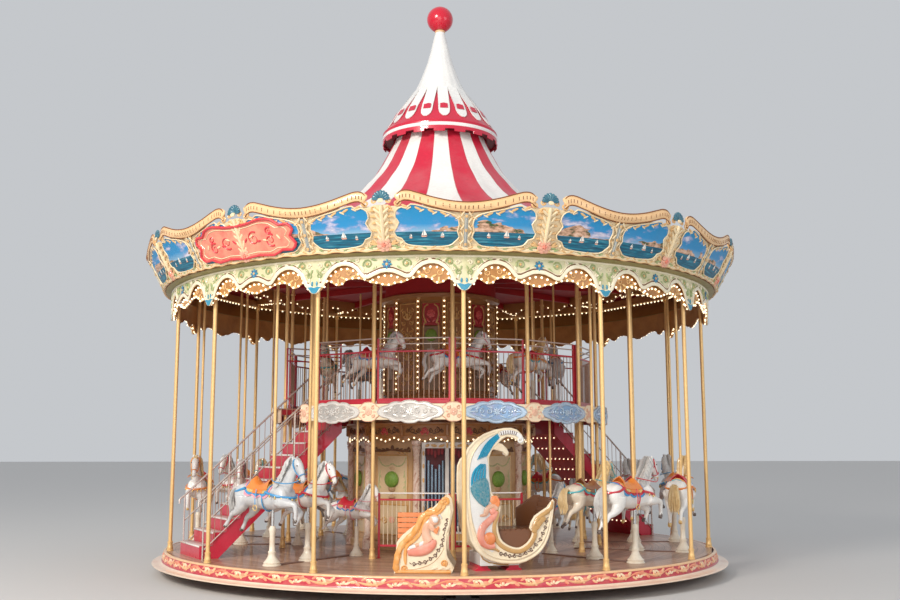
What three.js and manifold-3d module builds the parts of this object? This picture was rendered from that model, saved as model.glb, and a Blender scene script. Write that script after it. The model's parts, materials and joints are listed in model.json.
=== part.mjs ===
// Double-deck fairground carousel, in millimetres, +Z up, standing on z = 0.
// Angles run from -Y (the front) towards +X. Each repeated piece is made once at angle 0,
// with x along the direction of travel and -y outwards, and then turned about the axis.
import * as THREE from 'three';
import { mergeVertices } from 'three/addons/utils/BufferGeometryUtils.js';
import Module from 'manifold-3d';

const wasm = await Module();
wasm.setup();

// Driving dimensions
const BAYS = 14;
const BAY = (2 * Math.PI) / BAYS;
const GAP = 0.3;
const RING_SIDES = 28;

const DECK = { top: 420, thick: 60, radius: 5210 };
const UPPER = { top: 3020, thick: 120, radius: 3215 };
const POLE_RING = 5150;
const INNER_POLE_RING = 3100;
const POLE = 35;
const SPINDLE = { radius: 160, clear: 200, top: 8500 };
const RAFTER = { bottom: 5560, top: 5700, half: 40, inner: 900 };
const CROWN = { bottom: 5240, bottomRadius: 5410, top: 5860, topRadius: 5815, wall: 50 };
const VALANCE = { inner: 5230, outer: 5270, tip: 4640, top: 5180 };
const CORE = { radius: 1750, sides: 10, wall: 60 };
const UPPER_CORE = { radius: 1150, wall: 50 };
const STAIR = { risers: 12, going: 235, foot: 4990, half: 570, well: 610, wellEnd: 2400 };
const ROWS = [
  { name: 'outer', radius: 4720, scale: 1.0 },
  { name: 'middle', radius: 3880, scale: 0.9 },
  { name: 'inner', radius: 2780, scale: 0.72 },
];
const HORSE_BAYS = [1, 2, 3, 5, 8, 9, 10, 12];
const STAIR_BAYS = [4, 11];
const SLIDE = { rod: 25, bore: 25.35, poleBore: 36, poleTop: 5810 };

const COLOUR = {
  cream: 0xe8d3a6, gold: 0xc8963c, red: 0xa80c24, white: 0xf0ede6, brown: 0x6b4c3a,
  darkRed: 0x4a0508, steel: 0x8a8d90, wood: 0xb4682c, dark: 0x24201e,
};

// Solids
function solid(geometry) {
  const plain = geometry.clone();
  plain.deleteAttribute('normal');
  plain.deleteAttribute('uv');
  const merged = mergeVertices(plain, 1e-3);
  const position = merged.attributes.position.array;
  const index = merged.index.array;
  const triangles = [];
  let volume = 0;
  for (let i = 0; i < index.length; i += 3) {
    const [a, b, c] = [index[i], index[i + 1], index[i + 2]];
    if (a === b || b === c || a === c) continue;
    triangles.push([a, b, c]);
    const va = new THREE.Vector3().fromArray(position, a * 3);
    const vb = new THREE.Vector3().fromArray(position, b * 3);
    const vc = new THREE.Vector3().fromArray(position, c * 3);
    volume += va.dot(vb.cross(vc));
  }
  const turned = volume < 0 ? triangles.map(([a, b, c]) => [a, c, b]) : triangles;
  return new wasm.Manifold(new wasm.Mesh({
    numProp: 3,
    vertProperties: new Float32Array(position),
    triVerts: new Uint32Array(turned.flat()),
  }));
}

function join(...pieces) {
  return pieces.flat().reduce((sum, piece) => sum.add(piece));
}

function moved(piece, x, y, z) {
  return piece.translate([x, y, z]);
}

function turned(piece, angle) {
  return piece.rotate([0, 0, THREE.MathUtils.radToDeg(angle)]);
}

// A ring or drum about the axis from a list of [radius, height] points.
function lathe(points, sides = RING_SIDES, start = 0) {
  const profile = points.map(([r, z]) => new THREE.Vector2(r, z));
  const open = points[0][0] > 0 || points[points.length - 1][0] > 0;
  if (open) profile.push(profile[0].clone());
  return solid(new THREE.LatheGeometry(profile, sides, start).rotateX(Math.PI / 2));
}

function box(x0, x1, r0, r1, z0, z1) {
  const geometry = new THREE.BoxGeometry(x1 - x0, r1 - r0, z1 - z0);
  return solid(geometry.translate((x0 + x1) / 2, -(r0 + r1) / 2, (z0 + z1) / 2));
}

function post(radius, x, r, z0, z1, sides = 6) {
  const geometry = new THREE.CylinderGeometry(radius, radius, z1 - z0, sides);
  return solid(geometry.rotateX(Math.PI / 2).translate(x, -r, (z0 + z1) / 2));
}

function shapeOf(points) {
  return new THREE.Shape(points.map(([a, b]) => new THREE.Vector2(a, b)));
}

// An outline of [x, z] points, from radius r0 out to r1.
function plate(points, r0, r1) {
  const geometry = new THREE.ExtrudeGeometry(shapeOf(points), { depth: r1 - r0, bevelEnabled: false });
  return solid(geometry.rotateX(Math.PI / 2).translate(0, -r0, 0));
}

// An outline of [radius, z] points, from x0 to x1.
function rib(points, x0, x1) {
  const geometry = new THREE.ExtrudeGeometry(shapeOf(points), { depth: x1 - x0, bevelEnabled: false });
  const basis = new THREE.Matrix4().makeBasis(
    new THREE.Vector3(0, -1, 0), new THREE.Vector3(0, 0, 1), new THREE.Vector3(-1, 0, 0));
  return solid(geometry.applyMatrix4(basis).translate(x1, 0, 0));
}

// A flat bar between two [radius, z] points at side place x.
function bar(from, to, x, half) {
  const run = new THREE.Vector2(to[0] - from[0], to[1] - from[1]);
  const side = new THREE.Vector2(-run.y, run.x).setLength(half);
  const corners = [
    [from[0] + side.x, from[1] + side.y], [to[0] + side.x, to[1] + side.y],
    [to[0] - side.x, to[1] - side.y], [from[0] - side.x, from[1] - side.y],
  ];
  return rib(corners, x - half, x + half);
}

const group = new THREE.Group();
const LOOK = { metal: [0.35, 0.9], paint: [0.45, 0.1], wood: [0.6, 0], cloth: [0.8, 0] };

function add(name, piece, colour, look = 'paint', angle = 0) {
  const mesh = piece.getMesh();
  const geometry = new THREE.BufferGeometry();
  geometry.setAttribute('position', new THREE.BufferAttribute(new Float32Array(mesh.vertProperties), 3));
  geometry.setIndex(new THREE.BufferAttribute(new Uint32Array(mesh.triVerts), 1));
  geometry.computeVertexNormals();
  const [roughness, metalness] = LOOK[look];
  const material = new THREE.MeshStandardMaterial({ color: colour, roughness, metalness });
  const node = new THREE.Mesh(geometry, material);
  node.name = name;
  node.rotation.z = angle;
  group.add(node);
}

const seam = (n) => n * BAY;
const middle = (k) => (k + 0.5) * BAY;
const two = (n) => String(n).padStart(2, '0');

// Base: a steel cross on feet, which stays still, and the spindle that the carousel turns about
const BASE = { top: 170, hub: 820, arm: 4950, foot: 50, half: 110 };

function baseFrame() {
  const hub = lathe([[0, 0], [BASE.hub, 0], [BASE.hub, BASE.top], [0, BASE.top]], 16);
  const arms = [];
  for (let n = 0; n < 4; n++) {
    const beam = box(-BASE.half, BASE.half, BASE.hub - 100, BASE.arm, BASE.foot, BASE.top - 10);
    const foot = box(-250, 250, BASE.arm - 500, BASE.arm, 0, BASE.foot + 20);
    arms.push(turned(join(beam, foot), (n * Math.PI) / 2));
  }
  return join(hub, arms);
}

function spindle() {
  return lathe([
    [0, BASE.top + GAP], [SPINDLE.radius + 120, BASE.top + GAP], [SPINDLE.radius + 120, 230],
    [SPINDLE.radius, 250], [SPINDLE.radius, SPINDLE.top], [0, SPINDLE.top],
  ], 16);
}

// Lower deck: a round floor with the slewing ring beneath that rests on the base hub
function lowerDeck() {
  const under = DECK.top - DECK.thick;
  return lathe([
    [SPINDLE.clear, under - 60], [500, under - 60], [500, BASE.top + GAP], [760, BASE.top + GAP],
    [760, under - 60], [1300, under], [DECK.radius, under], [DECK.radius, DECK.top],
    [SPINDLE.clear, DECK.top],
  ]);
}

// Rim: the ornamental band round the deck edge and the flared lip beneath it
function platformRim() {
  const inner = DECK.radius + GAP;
  return lathe([
    [inner, 185], [5466, 185], [5466, 202], [5335, 218], [5298, 245], [5240, 418], [inner, 418],
  ]);
}

// Lower core: the ten-sided housing of the drive, with columns, base and cornice
function coreRing(radius, wall, z0, z1) {
  return lathe([[radius - wall, z0], [radius, z0], [radius, z1], [radius - wall, z1]],
    CORE.sides, Math.PI / CORE.sides);
}

function lowerCore() {
  const bottom = DECK.top + GAP;
  const top = UPPER.top - UPPER.thick - GAP;
  const wall = coreRing(CORE.radius, CORE.wall, bottom, top);
  const plinth = coreRing(CORE.radius + 45, 60, bottom, bottom + 160);
  const cornice = lathe([
    [CORE.radius - 20, 2440], [CORE.radius + 60, 2440], [CORE.radius + 110, 2500],
    [CORE.radius + 150, 2700], [CORE.radius + 150, 2740], [CORE.radius - 20, 2740],
  ], CORE.sides, Math.PI / CORE.sides);
  const columns = [];
  for (let n = 0; n < CORE.sides; n++) {
    const angle = ((n + 0.5) * 2 * Math.PI) / CORE.sides;
    columns.push(turned(post(70, 0, CORE.radius + 5, bottom, 2460), angle));
  }
  return join(wall, plinth, cornice, columns);
}

// Organ front: a cased front with two banks of pipes, highest at the centre post
const ORGAN = { half: 460, bottom: 600, top: 2380, depth: 190 };

function organFront() {
  const back = CORE.radius * Math.cos(Math.PI / CORE.sides) + GAP;
  const front = back + ORGAN.depth;
  const caseBox = box(-ORGAN.half, ORGAN.half, back, front, ORGAN.bottom, ORGAN.top);
  const cuts = [-1, 1].map((side) => {
    const [x0, x1] = side < 0 ? [-ORGAN.half + 60, -35] : [35, ORGAN.half - 60];
    return box(x0, x1, back + 40, front + 50, ORGAN.bottom + 180, ORGAN.top - 110);
  });
  const pipes = [];
  for (const side of [-1, 1]) {
    for (let i = 0; i < 6; i++) {
      const x = side * (72 + i * 66);
      const height = 1380 - Math.abs(3 - i) * 130;
      pipes.push(post(24, x, back + 110, ORGAN.bottom + 170, ORGAN.bottom + 180 + height, 6));
    }
  }
  return join(caseBox.subtract(cuts[0]).subtract(cuts[1]), pipes);
}

// Upper deck: a round floor with two stairwells and holes for the inner poles, and its fascia
function upperDeck() {
  const under = UPPER.top - UPPER.thick;
  const skirt = UPPER.radius + 55;
  const floor = lathe([
    [SPINDLE.clear, under], [UPPER.radius - 25, under], [UPPER.radius - 25, 2750], [skirt, 2750],
    [skirt + 10, UPPER.top], [SPINDLE.clear, UPPER.top],
  ]);
  const cuts = [];
  for (const k of STAIR_BAYS) {
    const well = box(-STAIR.well, STAIR.well, STAIR.wellEnd, 3600, 2600, 3200);
    cuts.push(turned(well, middle(k)));
  }
  for (let n = 0; n < BAYS; n++) {
    cuts.push(turned(post(POLE + 1, 0, INNER_POLE_RING, 2700, 3200), seam(n)));
  }
  return cuts.reduce((deck, cut) => deck.subtract(cut), floor);
}

// Stairs: a straight flight with sawtooth sides that climbs towards the axis
function stairFlight() {
  const rise = (UPPER.top - DECK.top) / STAIR.risers;
  const outline = [[STAIR.foot, DECK.top + GAP]];
  for (let i = 0; i < STAIR.risers - 1; i++) {
    const r = STAIR.foot - i * STAIR.going;
    const z = DECK.top + (i + 1) * rise;
    outline.push([r, z], [r - STAIR.going, z]);
  }
  const last = STAIR.foot - (STAIR.risers - 1) * STAIR.going;
  const end = STAIR.wellEnd + GAP;
  outline[outline.length - 1] = [last + 25, outline[outline.length - 1][1]];
  outline.push([last + 25, UPPER.top - 1], [end, UPPER.top - 1], [end, 2560]);
  outline.push([STAIR.foot - 330, DECK.top + GAP]);
  return rib(outline, -STAIR.half, STAIR.half);
}

// Stair rail: posts, handrail and knee rail in one plane, with the guard beside the well
function stairRail(side) {
  const half = 17;
  const guardTop = UPPER.top + 1150;
  const x = side * (STAIR.half + half + 2);
  const slope = (UPPER.top - DECK.top) / (STAIR.risers * STAIR.going);
  const line = (r, above) => [r, DECK.top + (STAIR.foot - r) * slope + above];
  const rails = [
    bar(line(4960, 970), line(2440, 970), x, half),
    bar(line(4960, 520), line(2440, 520), x, half),
    bar([3050, guardTop], [2430, guardTop], x, half),
  ];
  const uprights = [[4940, 0, 960], [3730, 20, 960], [2520, 20, 960]].map(([r, low, high]) => {
    const z0 = r > 4900 ? DECK.top + GAP : line(r, low)[1];
    return box(x - half, x + half, r - half, r + half, z0, line(r, high)[1]);
  });
  const guards = [3040, 2450].map((r) =>
    box(x - half, x + half, r - half, r + half, line(r, 950)[1], guardTop + 10));
  return join(rails, uprights, guards);
}

// The inner face of the crown boards is a cone between these two [radius, z] points.
const CROWN_INSIDE = [
  [CROWN.bottomRadius - CROWN.wall - 15, CROWN.bottom],
  [CROWN.topRadius - CROWN.wall, CROWN.top + 15],
];

function crownInside(z) {
  const [[r0, z0], [r1, z1]] = CROWN_INSIDE;
  return r0 + ((z - z0) * (r1 - r0)) / (z1 - z0);
}

// Bay frame: two rafters with their outer and inner poles, tied by a header beam
function bayFrame() {
  const reach = crownInside(RAFTER.bottom) - RAFTER.half * Math.tan(Math.PI / RING_SIDES) - GAP;
  const foot = DECK.top + GAP;
  const sweep = join(
    box(-RAFTER.half, RAFTER.half, RAFTER.inner, reach, RAFTER.bottom, RAFTER.top),
    post(POLE, 0, POLE_RING, foot, RAFTER.bottom + 30),
    post(POLE, 0, INNER_POLE_RING, foot, RAFTER.bottom + 30),
    post(POLE + 14, 0, POLE_RING, foot, foot + 170),
  );
  const inward = POLE_RING * Math.cos(BAY / 2);
  const chord = POLE_RING * Math.sin(BAY / 2);
  const header = box(-chord, chord, inward - 30, inward + 30, RAFTER.bottom + 10, RAFTER.bottom + 90);
  return join(turned(sweep, -BAY / 2), turned(sweep, BAY / 2), header);
}

// Crown: fourteen flared rounding boards with scrolled tops and a shell over each
function crown() {
  const [insideFoot, insideTop] = CROWN_INSIDE;
  const boards = lathe([
    insideFoot, [CROWN.bottomRadius, CROWN.bottom], [CROWN.topRadius, CROWN.top], insideTop,
  ]);
  const scroll = [[-590, 5800], [600, 5800], [600, 5850], [60, 5950], [-330, 6050], [-590, 5950]];
  const shell = new THREE.CylinderGeometry(125, 125, 60, 8);
  const parts = [];
  for (let k = 0; k < BAYS; k++) {
    const right = turned(plate(scroll, 5715, 5765), BAY / 4);
    const left = turned(plate(scroll.map(([x, z]) => [-x, z]).reverse(), 5715, 5765), -BAY / 4);
    const finial = moved(solid(shell), 0, -5790, 6010);
    parts.push(turned(join(right, left, finial), middle(k)));
  }
  return join(boards, parts);
}

// Valance: the scalloped skirt below the crown, with a flange that hangs from the boards
const SCALLOP = [[-1110, 4600], [-1080, 4760], [-860, 5010], [-690, 5060], [-480, 4960],
  [-320, 4870], [-120, 4940]];

function valance() {
  const flange = CROWN.bottomRadius - CROWN.wall;
  const skirt = lathe([
    [VALANCE.inner, VALANCE.tip], [VALANCE.outer, VALANCE.tip], [VALANCE.outer, VALANCE.top],
    [flange + 30, 5205], [flange + 30, CROWN.bottom - GAP], [VALANCE.inner, CROWN.bottom - GAP],
  ]);
  const mirrored = SCALLOP.map(([x, z]) => [-x, z]).reverse();
  const cut = plate([...SCALLOP, ...mirrored], 4900, 5500);
  let skirtCut = skirt;
  for (let k = 0; k < BAYS; k++) skirtCut = skirtCut.subtract(turned(cut, middle(k)));
  return skirtCut;
}

// Fences: straight rails between square posts, bay by bay, joined at the posts
function fence(first, count, radius, floor, rails, height) {
  const parts = [];
  for (let i = 0; i <= count; i++) {
    parts.push(turned(box(-30, 30, radius - 30, radius + 30, floor + GAP, floor + height), seam(first + i)));
  }
  const inward = radius * Math.cos(BAY / 2);
  const chord = radius * Math.sin(BAY / 2);
  for (let i = 0; i < count; i++) {
    for (const [z, half] of rails) {
      const rail = box(-chord, chord, inward - half, inward + half, floor + z - half, floor + z + half);
      parts.push(turned(rail, middle(first + i)));
    }
  }
  return join(parts);
}

const UPPER_RAILS = [[90, 15], [910, 25], [1140, 20]];
const LOWER_RAILS = [[210, 20], [980, 20], [1090, 15]];

// Upper core: the fourteen-sided casing round the spindle that carries the rafters
function upperCore() {
  const { radius, wall } = UPPER_CORE;
  const bottom = UPPER.top + GAP;
  const top = RAFTER.bottom - GAP;
  return lathe([
    [radius - wall, bottom], [radius + 40, bottom], [radius + 40, bottom + 250], [radius, bottom + 280],
    [radius, 5200], [radius + 90, 5260], [radius + 90, 5360], [radius, 5400], [radius, top],
    [radius - wall, top],
  ], BAYS);
}

// Ceiling: the lining over the rafters, with holes for the poles of the moving horses
function ceiling() {
  const bottom = RAFTER.top + GAP;
  const inner = SPINDLE.clear;
  const sheet = lathe([[inner, bottom], [5590, bottom], [5590, bottom + 15], [inner, bottom + 15]]);
  const cuts = [];
  for (const k of HORSE_BAYS) {
    for (const row of ROWS.slice(0, 2)) {
      cuts.push(turned(post(SLIDE.poleBore, 0, row.radius, 5600, 5800), middle(k)));
    }
  }
  return cuts.reduce((rest, cut) => rest.subtract(cut), sheet);
}

// Tent roof: a concave bell of twenty-four gores, open at the top round the spindle
const TENT = [[5585, 5716], [5300, 5860], [4300, 6080], [3300, 6380], [2050, 7060], [1590, 7520],
  [1350, 7800], [1000, 8460], [960, 8560]];
const TENT_LINING = [[900, 8560], [940, 8460], [1500, 7520], [3220, 6350], [4250, 6040], [5270, 5816],
  [5500, 5716]];

function tentRoof() {
  return lathe([...TENT, ...TENT_LINING], 24);
}

// Roof cap: the round lambrequin and the tall cone above it
const CONE = [[1180, 8700], [920, 9130], [700, 9390], [480, 9770], [280, 10280], [95, 11020]];

function roofCap() {
  const web = TENT[TENT.length - 1][1] + GAP;
  const ring = lathe([[SPINDLE.clear, web], [1140, web], [1140, 8460], [1195, 8460], [1195, 8700],
    [1140, 8710], [SPINDLE.clear, web + 30]], 12);
  const inner = CONE.slice(0, 5).map(([r, z]) => [r - 40, z - 5]).reverse();
  const cone = lathe([...CONE, [0, 11020], [0, 10800], ...inner], 12);
  return join(ring, cone);
}

// Ball: the red finial on the tip of the cone
function ball() {
  const radius = 276;
  const centre = 11270;
  const bottom = 11020 + GAP;
  const start = Math.asin((bottom - centre) / radius);
  const points = [[0, bottom]];
  const steps = 7;
  for (let i = 0; i < steps; i++) {
    const a = start + ((Math.PI / 2 - start) * i) / steps;
    points.push([radius * Math.cos(a), centre + radius * Math.sin(a)]);
  }
  points.push([0, centre + radius]);
  return lathe(points, 12);
}

// Horse: body with neck, head and tail, and four galloping legs, with its pole at x = 0, facing +x
const BODY = [[-600, 1298], [-730, 1215], [-830, 1210], [-930, 1000], [-935, 745], [-880, 745], [-870, 970],
  [-820, 1090], [-740, 1000], [-600, 920], [-30, 862], [150, 880], [440, 1030], [465, 1110], [435, 1300],
  [470, 1440], [570, 1330], [655, 1298], [675, 1370], [600, 1580], [470, 1745], [340, 1600], [160, 1370],
  [50, 1290], [-230, 1256]];
const BODY_HALF = 120;
const LEG_NEAR = 60;
const LEG_FAR = 150;
const OUTWARD_LEGS = [
  [[240, 920], [530, 920], [530, 665], [600, 670], [625, 1000], [240, 1100]],
  [[-620, 1100], [-700, 900], [-850, 800], [-1015, 600], [-965, 540], [-770, 745], [-460, 880]],
];
const INWARD_LEGS = [
  [[200, 890], [440, 800], [325, 690], [345, 625], [430, 640], [555, 830], [300, 1080]],
  [[-620, 1050], [-640, 800], [-735, 720], [-850, 540], [-810, 475], [-680, 600], [-430, 880]],
];

function horse(scale) {
  const body = plate(BODY, -BODY_HALF, BODY_HALF);
  const outward = OUTWARD_LEGS.map((leg) => plate(leg, LEG_NEAR, LEG_FAR));
  const inward = INWARD_LEGS.map((leg) => plate(leg, -LEG_FAR, -LEG_NEAR));
  return join(body, outward, inward).scale([scale, scale, scale]);
}

const PEDESTAL = { foot: 150, top: 500, guide: 620 };

function pedestal(hollow) {
  const { foot, top, guide } = PEDESTAL;
  const points = hollow
    ? [[0, 0], [foot, 0], [60, 140], [60, guide], [SLIDE.bore, guide], [SLIDE.bore, 270], [0, 270]]
    : [[0, 0], [foot - 30, 0], [50, 140], [50, top], [0, top]];
  return lathe(points, 6);
}

// Rank base: the floor plate and pedestals of one rank of horses, with its fixed inner horse, which
// stands a little ahead of the other two
const INNER_LEAD = THREE.MathUtils.degToRad(3);

function rankBase() {
  const [outer, centre, inner] = ROWS;
  const floor = DECK.top + GAP;
  const parts = [box(-60, 60, inner.radius - 60, outer.radius + 60, floor, floor + 12),
    box(-60, 210, inner.radius - 60, inner.radius + 60, floor, floor + 12)];
  for (const row of [outer, centre]) {
    parts.push(moved(pedestal(true), 0, -row.radius, floor));
  }
  const fixed = join(
    pedestal(false),
    horse(inner.scale),
    post(22, 0, 0, PEDESTAL.top - 20, 750),
    post(22, 0, 0, 850, UPPER.top - UPPER.thick - floor - GAP),
  );
  parts.push(turned(moved(fixed, 0, -inner.radius, floor), INNER_LEAD));
  return join(parts);
}

// Moving horse: the horse with its lifting rod below and its brass pole up through the ceiling
function movingHorse(row) {
  const rodBottom = DECK.top + 430;
  const body = moved(horse(row.scale), 0, 0, DECK.top + (1 - row.scale) * 900);
  const rod = post(SLIDE.rod, 0, 0, rodBottom, DECK.top + 1000);
  const pole = post(SLIDE.rod, 0, 0, DECK.top + 1150, SLIDE.poleTop);
  return moved(join(body, rod, pole), 0, -row.radius, 0);
}

// Upper horses: eight small fixed horses on a flat ring bolted to the upper floor
const UPPER_HORSE = { radius: 2300, scale: 0.78, each: 4, step: (6 * BAY) / 4 };

function upperHorses() {
  const { radius, scale, each, step } = UPPER_HORSE;
  const floor = UPPER.top + GAP;
  const parts = [lathe([[radius - 50, floor], [radius + 50, floor], [radius + 50, floor + 12],
    [radius - 50, floor + 12]])];
  const one = join(
    horse(scale),
    post(50, 0, 0, 0, 350, 6),
    post(20, 0, 0, 340, 720),
    post(20, 0, 0, 800, RAFTER.top - floor),
  );
  for (const start of [seam(5), seam(12)]) {
    for (let i = 0; i < each; i++) {
      parts.push(turned(moved(one, 0, -radius, floor), start + (i + 0.5) * step));
    }
  }
  return join(parts);
}

// Moon chariot: two crescent side plates, the inner one smaller, with a bowl seat between them and a low
// side wall along the inner one, on red supports
const MOON = { angle: 9, outer: 4710, inner: 3930, plate: 55 };
const CRESCENT = [[-130, 136], [160, 129], [335, 188], [472, 276], [572, 401], [650, 600], [709, 949],
  [709, 1051], [620, 932], [421, 806], [341, 643], [389, 587], [358, 478], [279, 389], [162, 328],
  [46, 340], [-70, 396], [-155, 488], [-202, 706], [-151, 960], [-294, 1181], [-329, 1713], [-201, 1916],
  [-34, 2047], [142, 2000], [210, 1926], [244, 1982], [133, 2122], [-72, 2143], [-385, 2055],
  [-637, 1842], [-688, 1585], [-675, 967], [-595, 479], [-435, 260], [-302, 185]];
const BOWL = [[-300, 250], [350, 250], [570, 430], [720, 700], [800, 1050], [755, 1085], [650, 760],
  [600, 610], [-140, 600], [-250, 760], [-330, 1250], [-375, 1250], [-320, 740], [-390, 420]];
const SEAT_WALL = [[-300, 250], [350, 250], [720, 700], [800, 1050], [755, 1085], [660, 1085], [335, 880],
  [335, 600], [-140, 600]];
const INNER_MOON = { width: 0.9, height: 0.86, lift: 80 };

function moonChariot() {
  const floor = DECK.top + GAP;
  const { outer, inner } = MOON;
  const raise = ([x, z]) => [x, z + DECK.top];
  const small = CRESCENT.map(([x, z]) => [x * INNER_MOON.width, z * INNER_MOON.height + INNER_MOON.lift]);
  const plates = [plate(CRESCENT.map(raise), outer - MOON.plate, outer),
    plate(small.map(raise), inner, inner + MOON.plate)];
  const wall = plate(SEAT_WALL.map(raise), inner + 20, inner + MOON.plate);
  const bowl = plate(BOWL.map(raise), inner + 20, outer - 20);
  const block = box(-447, 178, inner + 60, outer - 60, floor + 80, floor + 300);
  const feet = [-385, 110].map((x) => box(x - 80, x + 80, inner + 120, outer - 120, floor, floor + 120));
  return turned(join(plates, wall, bowl, block, feet), THREE.MathUtils.degToRad(MOON.angle));
}

// Sleigh: a carved side plate each side of a bench, its slatted back along the inner side
const SLEIGH = { angle: -7.5, outer: 4890, inner: 4160, plate: 50 };
const SLEIGH_SIDE = [[-390, 0], [-300, 0], [300, 0], [470, 0], [510, 90], [400, 260], [400, 560],
  [470, 900], [440, 1080], [380, 1140], [290, 1060], [120, 900], [-60, 720], [-270, 560], [-350, 460],
  [-370, 260], [-400, 130]];

function sleigh() {
  const floor = DECK.top + GAP;
  const { outer, inner } = SLEIGH;
  const side = SLEIGH_SIDE.map(([x, z]) => [x, z + floor]);
  const seat = box(-340, 300, inner + 20, outer - 20, floor + 300, floor + 380);
  const base = box(-300, 300, inner + 30, outer - 30, floor, floor + 120);
  const stands = [-260, 150].map((x) => box(x, x + 60, inner + 60, outer - 60, floor + 100, floor + 320));
  const back = box(-410, 150, inner, inner + SLEIGH.plate, floor + 340, floor + 860);
  const parts = [plate(side, outer - SLEIGH.plate, outer), plate(side, inner, inner + SLEIGH.plate)];
  return turned(join(parts, seat, base, stands, back), THREE.MathUtils.degToRad(SLEIGH.angle));
}

// Assembly
add('base_frame', baseFrame(), COLOUR.dark, 'metal');
add('centre_spindle', spindle(), COLOUR.steel, 'metal');
add('lower_deck', lowerDeck(), COLOUR.brown, 'wood');
add('platform_rim', platformRim(), COLOUR.cream);
add('lower_core', lowerCore(), COLOUR.cream);
add('organ_front', organFront(), COLOUR.cream);
add('upper_deck', upperDeck(), COLOUR.cream);
add('upper_core', upperCore(), COLOUR.wood);
add('crown_boards', crown(), COLOUR.cream);
add('valance', valance(), COLOUR.cream);
add('ceiling', ceiling(), COLOUR.darkRed);
add('tent_roof', tentRoof(), COLOUR.red, 'cloth');
add('roof_cap', roofCap(), COLOUR.white);
add('ball_finial', ball(), COLOUR.red);
add('upper_horses', upperHorses(), COLOUR.white);

STAIR_BAYS.forEach((k, i) => {
  add(`stair_${i + 1}`, stairFlight(), COLOUR.red, 'paint', middle(k));
  add(`stair_${i + 1}_rail_left`, stairRail(-1), COLOUR.steel, 'metal', middle(k));
  add(`stair_${i + 1}_rail_right`, stairRail(1), COLOUR.steel, 'metal', middle(k));
});

for (let i = 0; i < BAYS / 2; i++) {
  add(`bay_frame_${i + 1}`, bayFrame(), COLOUR.gold, 'metal', middle(2 * i));
}

add('upper_fence_1', fence(5, 6, 3030, UPPER.top, UPPER_RAILS, 1160), COLOUR.red);
add('upper_fence_2', fence(12, 6, 3030, UPPER.top, UPPER_RAILS, 1160), COLOUR.red);
add('lower_fence_1', fence(-1, 2, 2940, DECK.top, LOWER_RAILS, 1110), COLOUR.red);
add('lower_fence_2', fence(6, 2, 2940, DECK.top, LOWER_RAILS, 1110), COLOUR.red);

[0, Math.PI].forEach((half, i) => {
  add(`moon_chariot_${i + 1}`, moonChariot(), COLOUR.cream, 'paint', half);
  add(`sleigh_${i + 1}`, sleigh(), COLOUR.cream, 'paint', half);
});

for (const k of HORSE_BAYS) {
  add(`rank_base_${two(k)}`, rankBase(), COLOUR.white, 'paint', middle(k));
  for (const row of ROWS.slice(0, 2)) {
    add(`${row.name}_horse_${two(k)}`, movingHorse(row), COLOUR.white, 'paint', middle(k));
  }
}

export default group;
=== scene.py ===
import json
import math
import random

import bmesh
import bpy
from mathutils import Matrix, Vector

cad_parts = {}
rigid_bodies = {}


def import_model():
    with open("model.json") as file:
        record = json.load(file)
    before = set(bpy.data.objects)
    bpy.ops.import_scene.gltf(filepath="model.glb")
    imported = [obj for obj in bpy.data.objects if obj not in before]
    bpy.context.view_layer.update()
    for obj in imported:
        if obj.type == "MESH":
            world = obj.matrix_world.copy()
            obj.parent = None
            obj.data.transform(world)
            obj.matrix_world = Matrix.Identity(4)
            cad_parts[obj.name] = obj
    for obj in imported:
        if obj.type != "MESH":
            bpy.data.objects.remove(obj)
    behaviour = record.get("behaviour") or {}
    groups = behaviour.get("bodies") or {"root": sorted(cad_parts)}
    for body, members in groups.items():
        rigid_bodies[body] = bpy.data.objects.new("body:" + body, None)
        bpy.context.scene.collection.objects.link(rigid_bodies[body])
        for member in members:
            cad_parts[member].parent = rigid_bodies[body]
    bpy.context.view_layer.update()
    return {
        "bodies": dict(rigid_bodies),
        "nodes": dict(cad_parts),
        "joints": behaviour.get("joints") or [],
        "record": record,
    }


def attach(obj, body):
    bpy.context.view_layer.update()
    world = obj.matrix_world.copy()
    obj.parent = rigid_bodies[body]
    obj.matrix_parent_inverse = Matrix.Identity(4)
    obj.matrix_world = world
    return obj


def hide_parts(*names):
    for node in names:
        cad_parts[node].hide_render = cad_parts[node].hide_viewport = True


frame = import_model()

# Camera, floor and light: the carousel is seen from a little left of the front pole, from a low
# eye height on a square. The floor is a plain pale sheet and the light is a soft studio sky.
EYE_DISTANCE = 20.465
EYE_HEIGHT = 2.285
EYE_ANGLE = math.radians(-4.0)
EYE_PITCH = math.radians(8.27)
PHOTO_WIDTH = 900
FOCAL_PIXELS = 1014.3
AXIS_PIXEL = 440.0

camera_data = bpy.data.cameras.new("camera")
camera_data.lens = camera_data.sensor_width * FOCAL_PIXELS / PHOTO_WIDTH
camera_data.shift_x = (PHOTO_WIDTH / 2 - AXIS_PIXEL) / PHOTO_WIDTH
camera_data.clip_end = 400
camera = bpy.data.objects.new("camera", camera_data)
bpy.context.collection.objects.link(camera)
camera.location = (EYE_DISTANCE * math.sin(EYE_ANGLE), -EYE_DISTANCE * math.cos(EYE_ANGLE), EYE_HEIGHT)
camera.rotation_euler = (math.pi / 2 + EYE_PITCH, 0, EYE_ANGLE)
bpy.context.scene.camera = camera
bpy.context.scene.view_settings.view_transform = "Standard"


def plain_material(name, colour, rough):
    material = bpy.data.materials.new(name)
    material.use_nodes = True
    shader = material.node_tree.nodes["Principled BSDF"]
    shader.inputs["Base Color"].default_value = (*colour, 1)
    shader.inputs["Roughness"].default_value = rough
    return material


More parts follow.
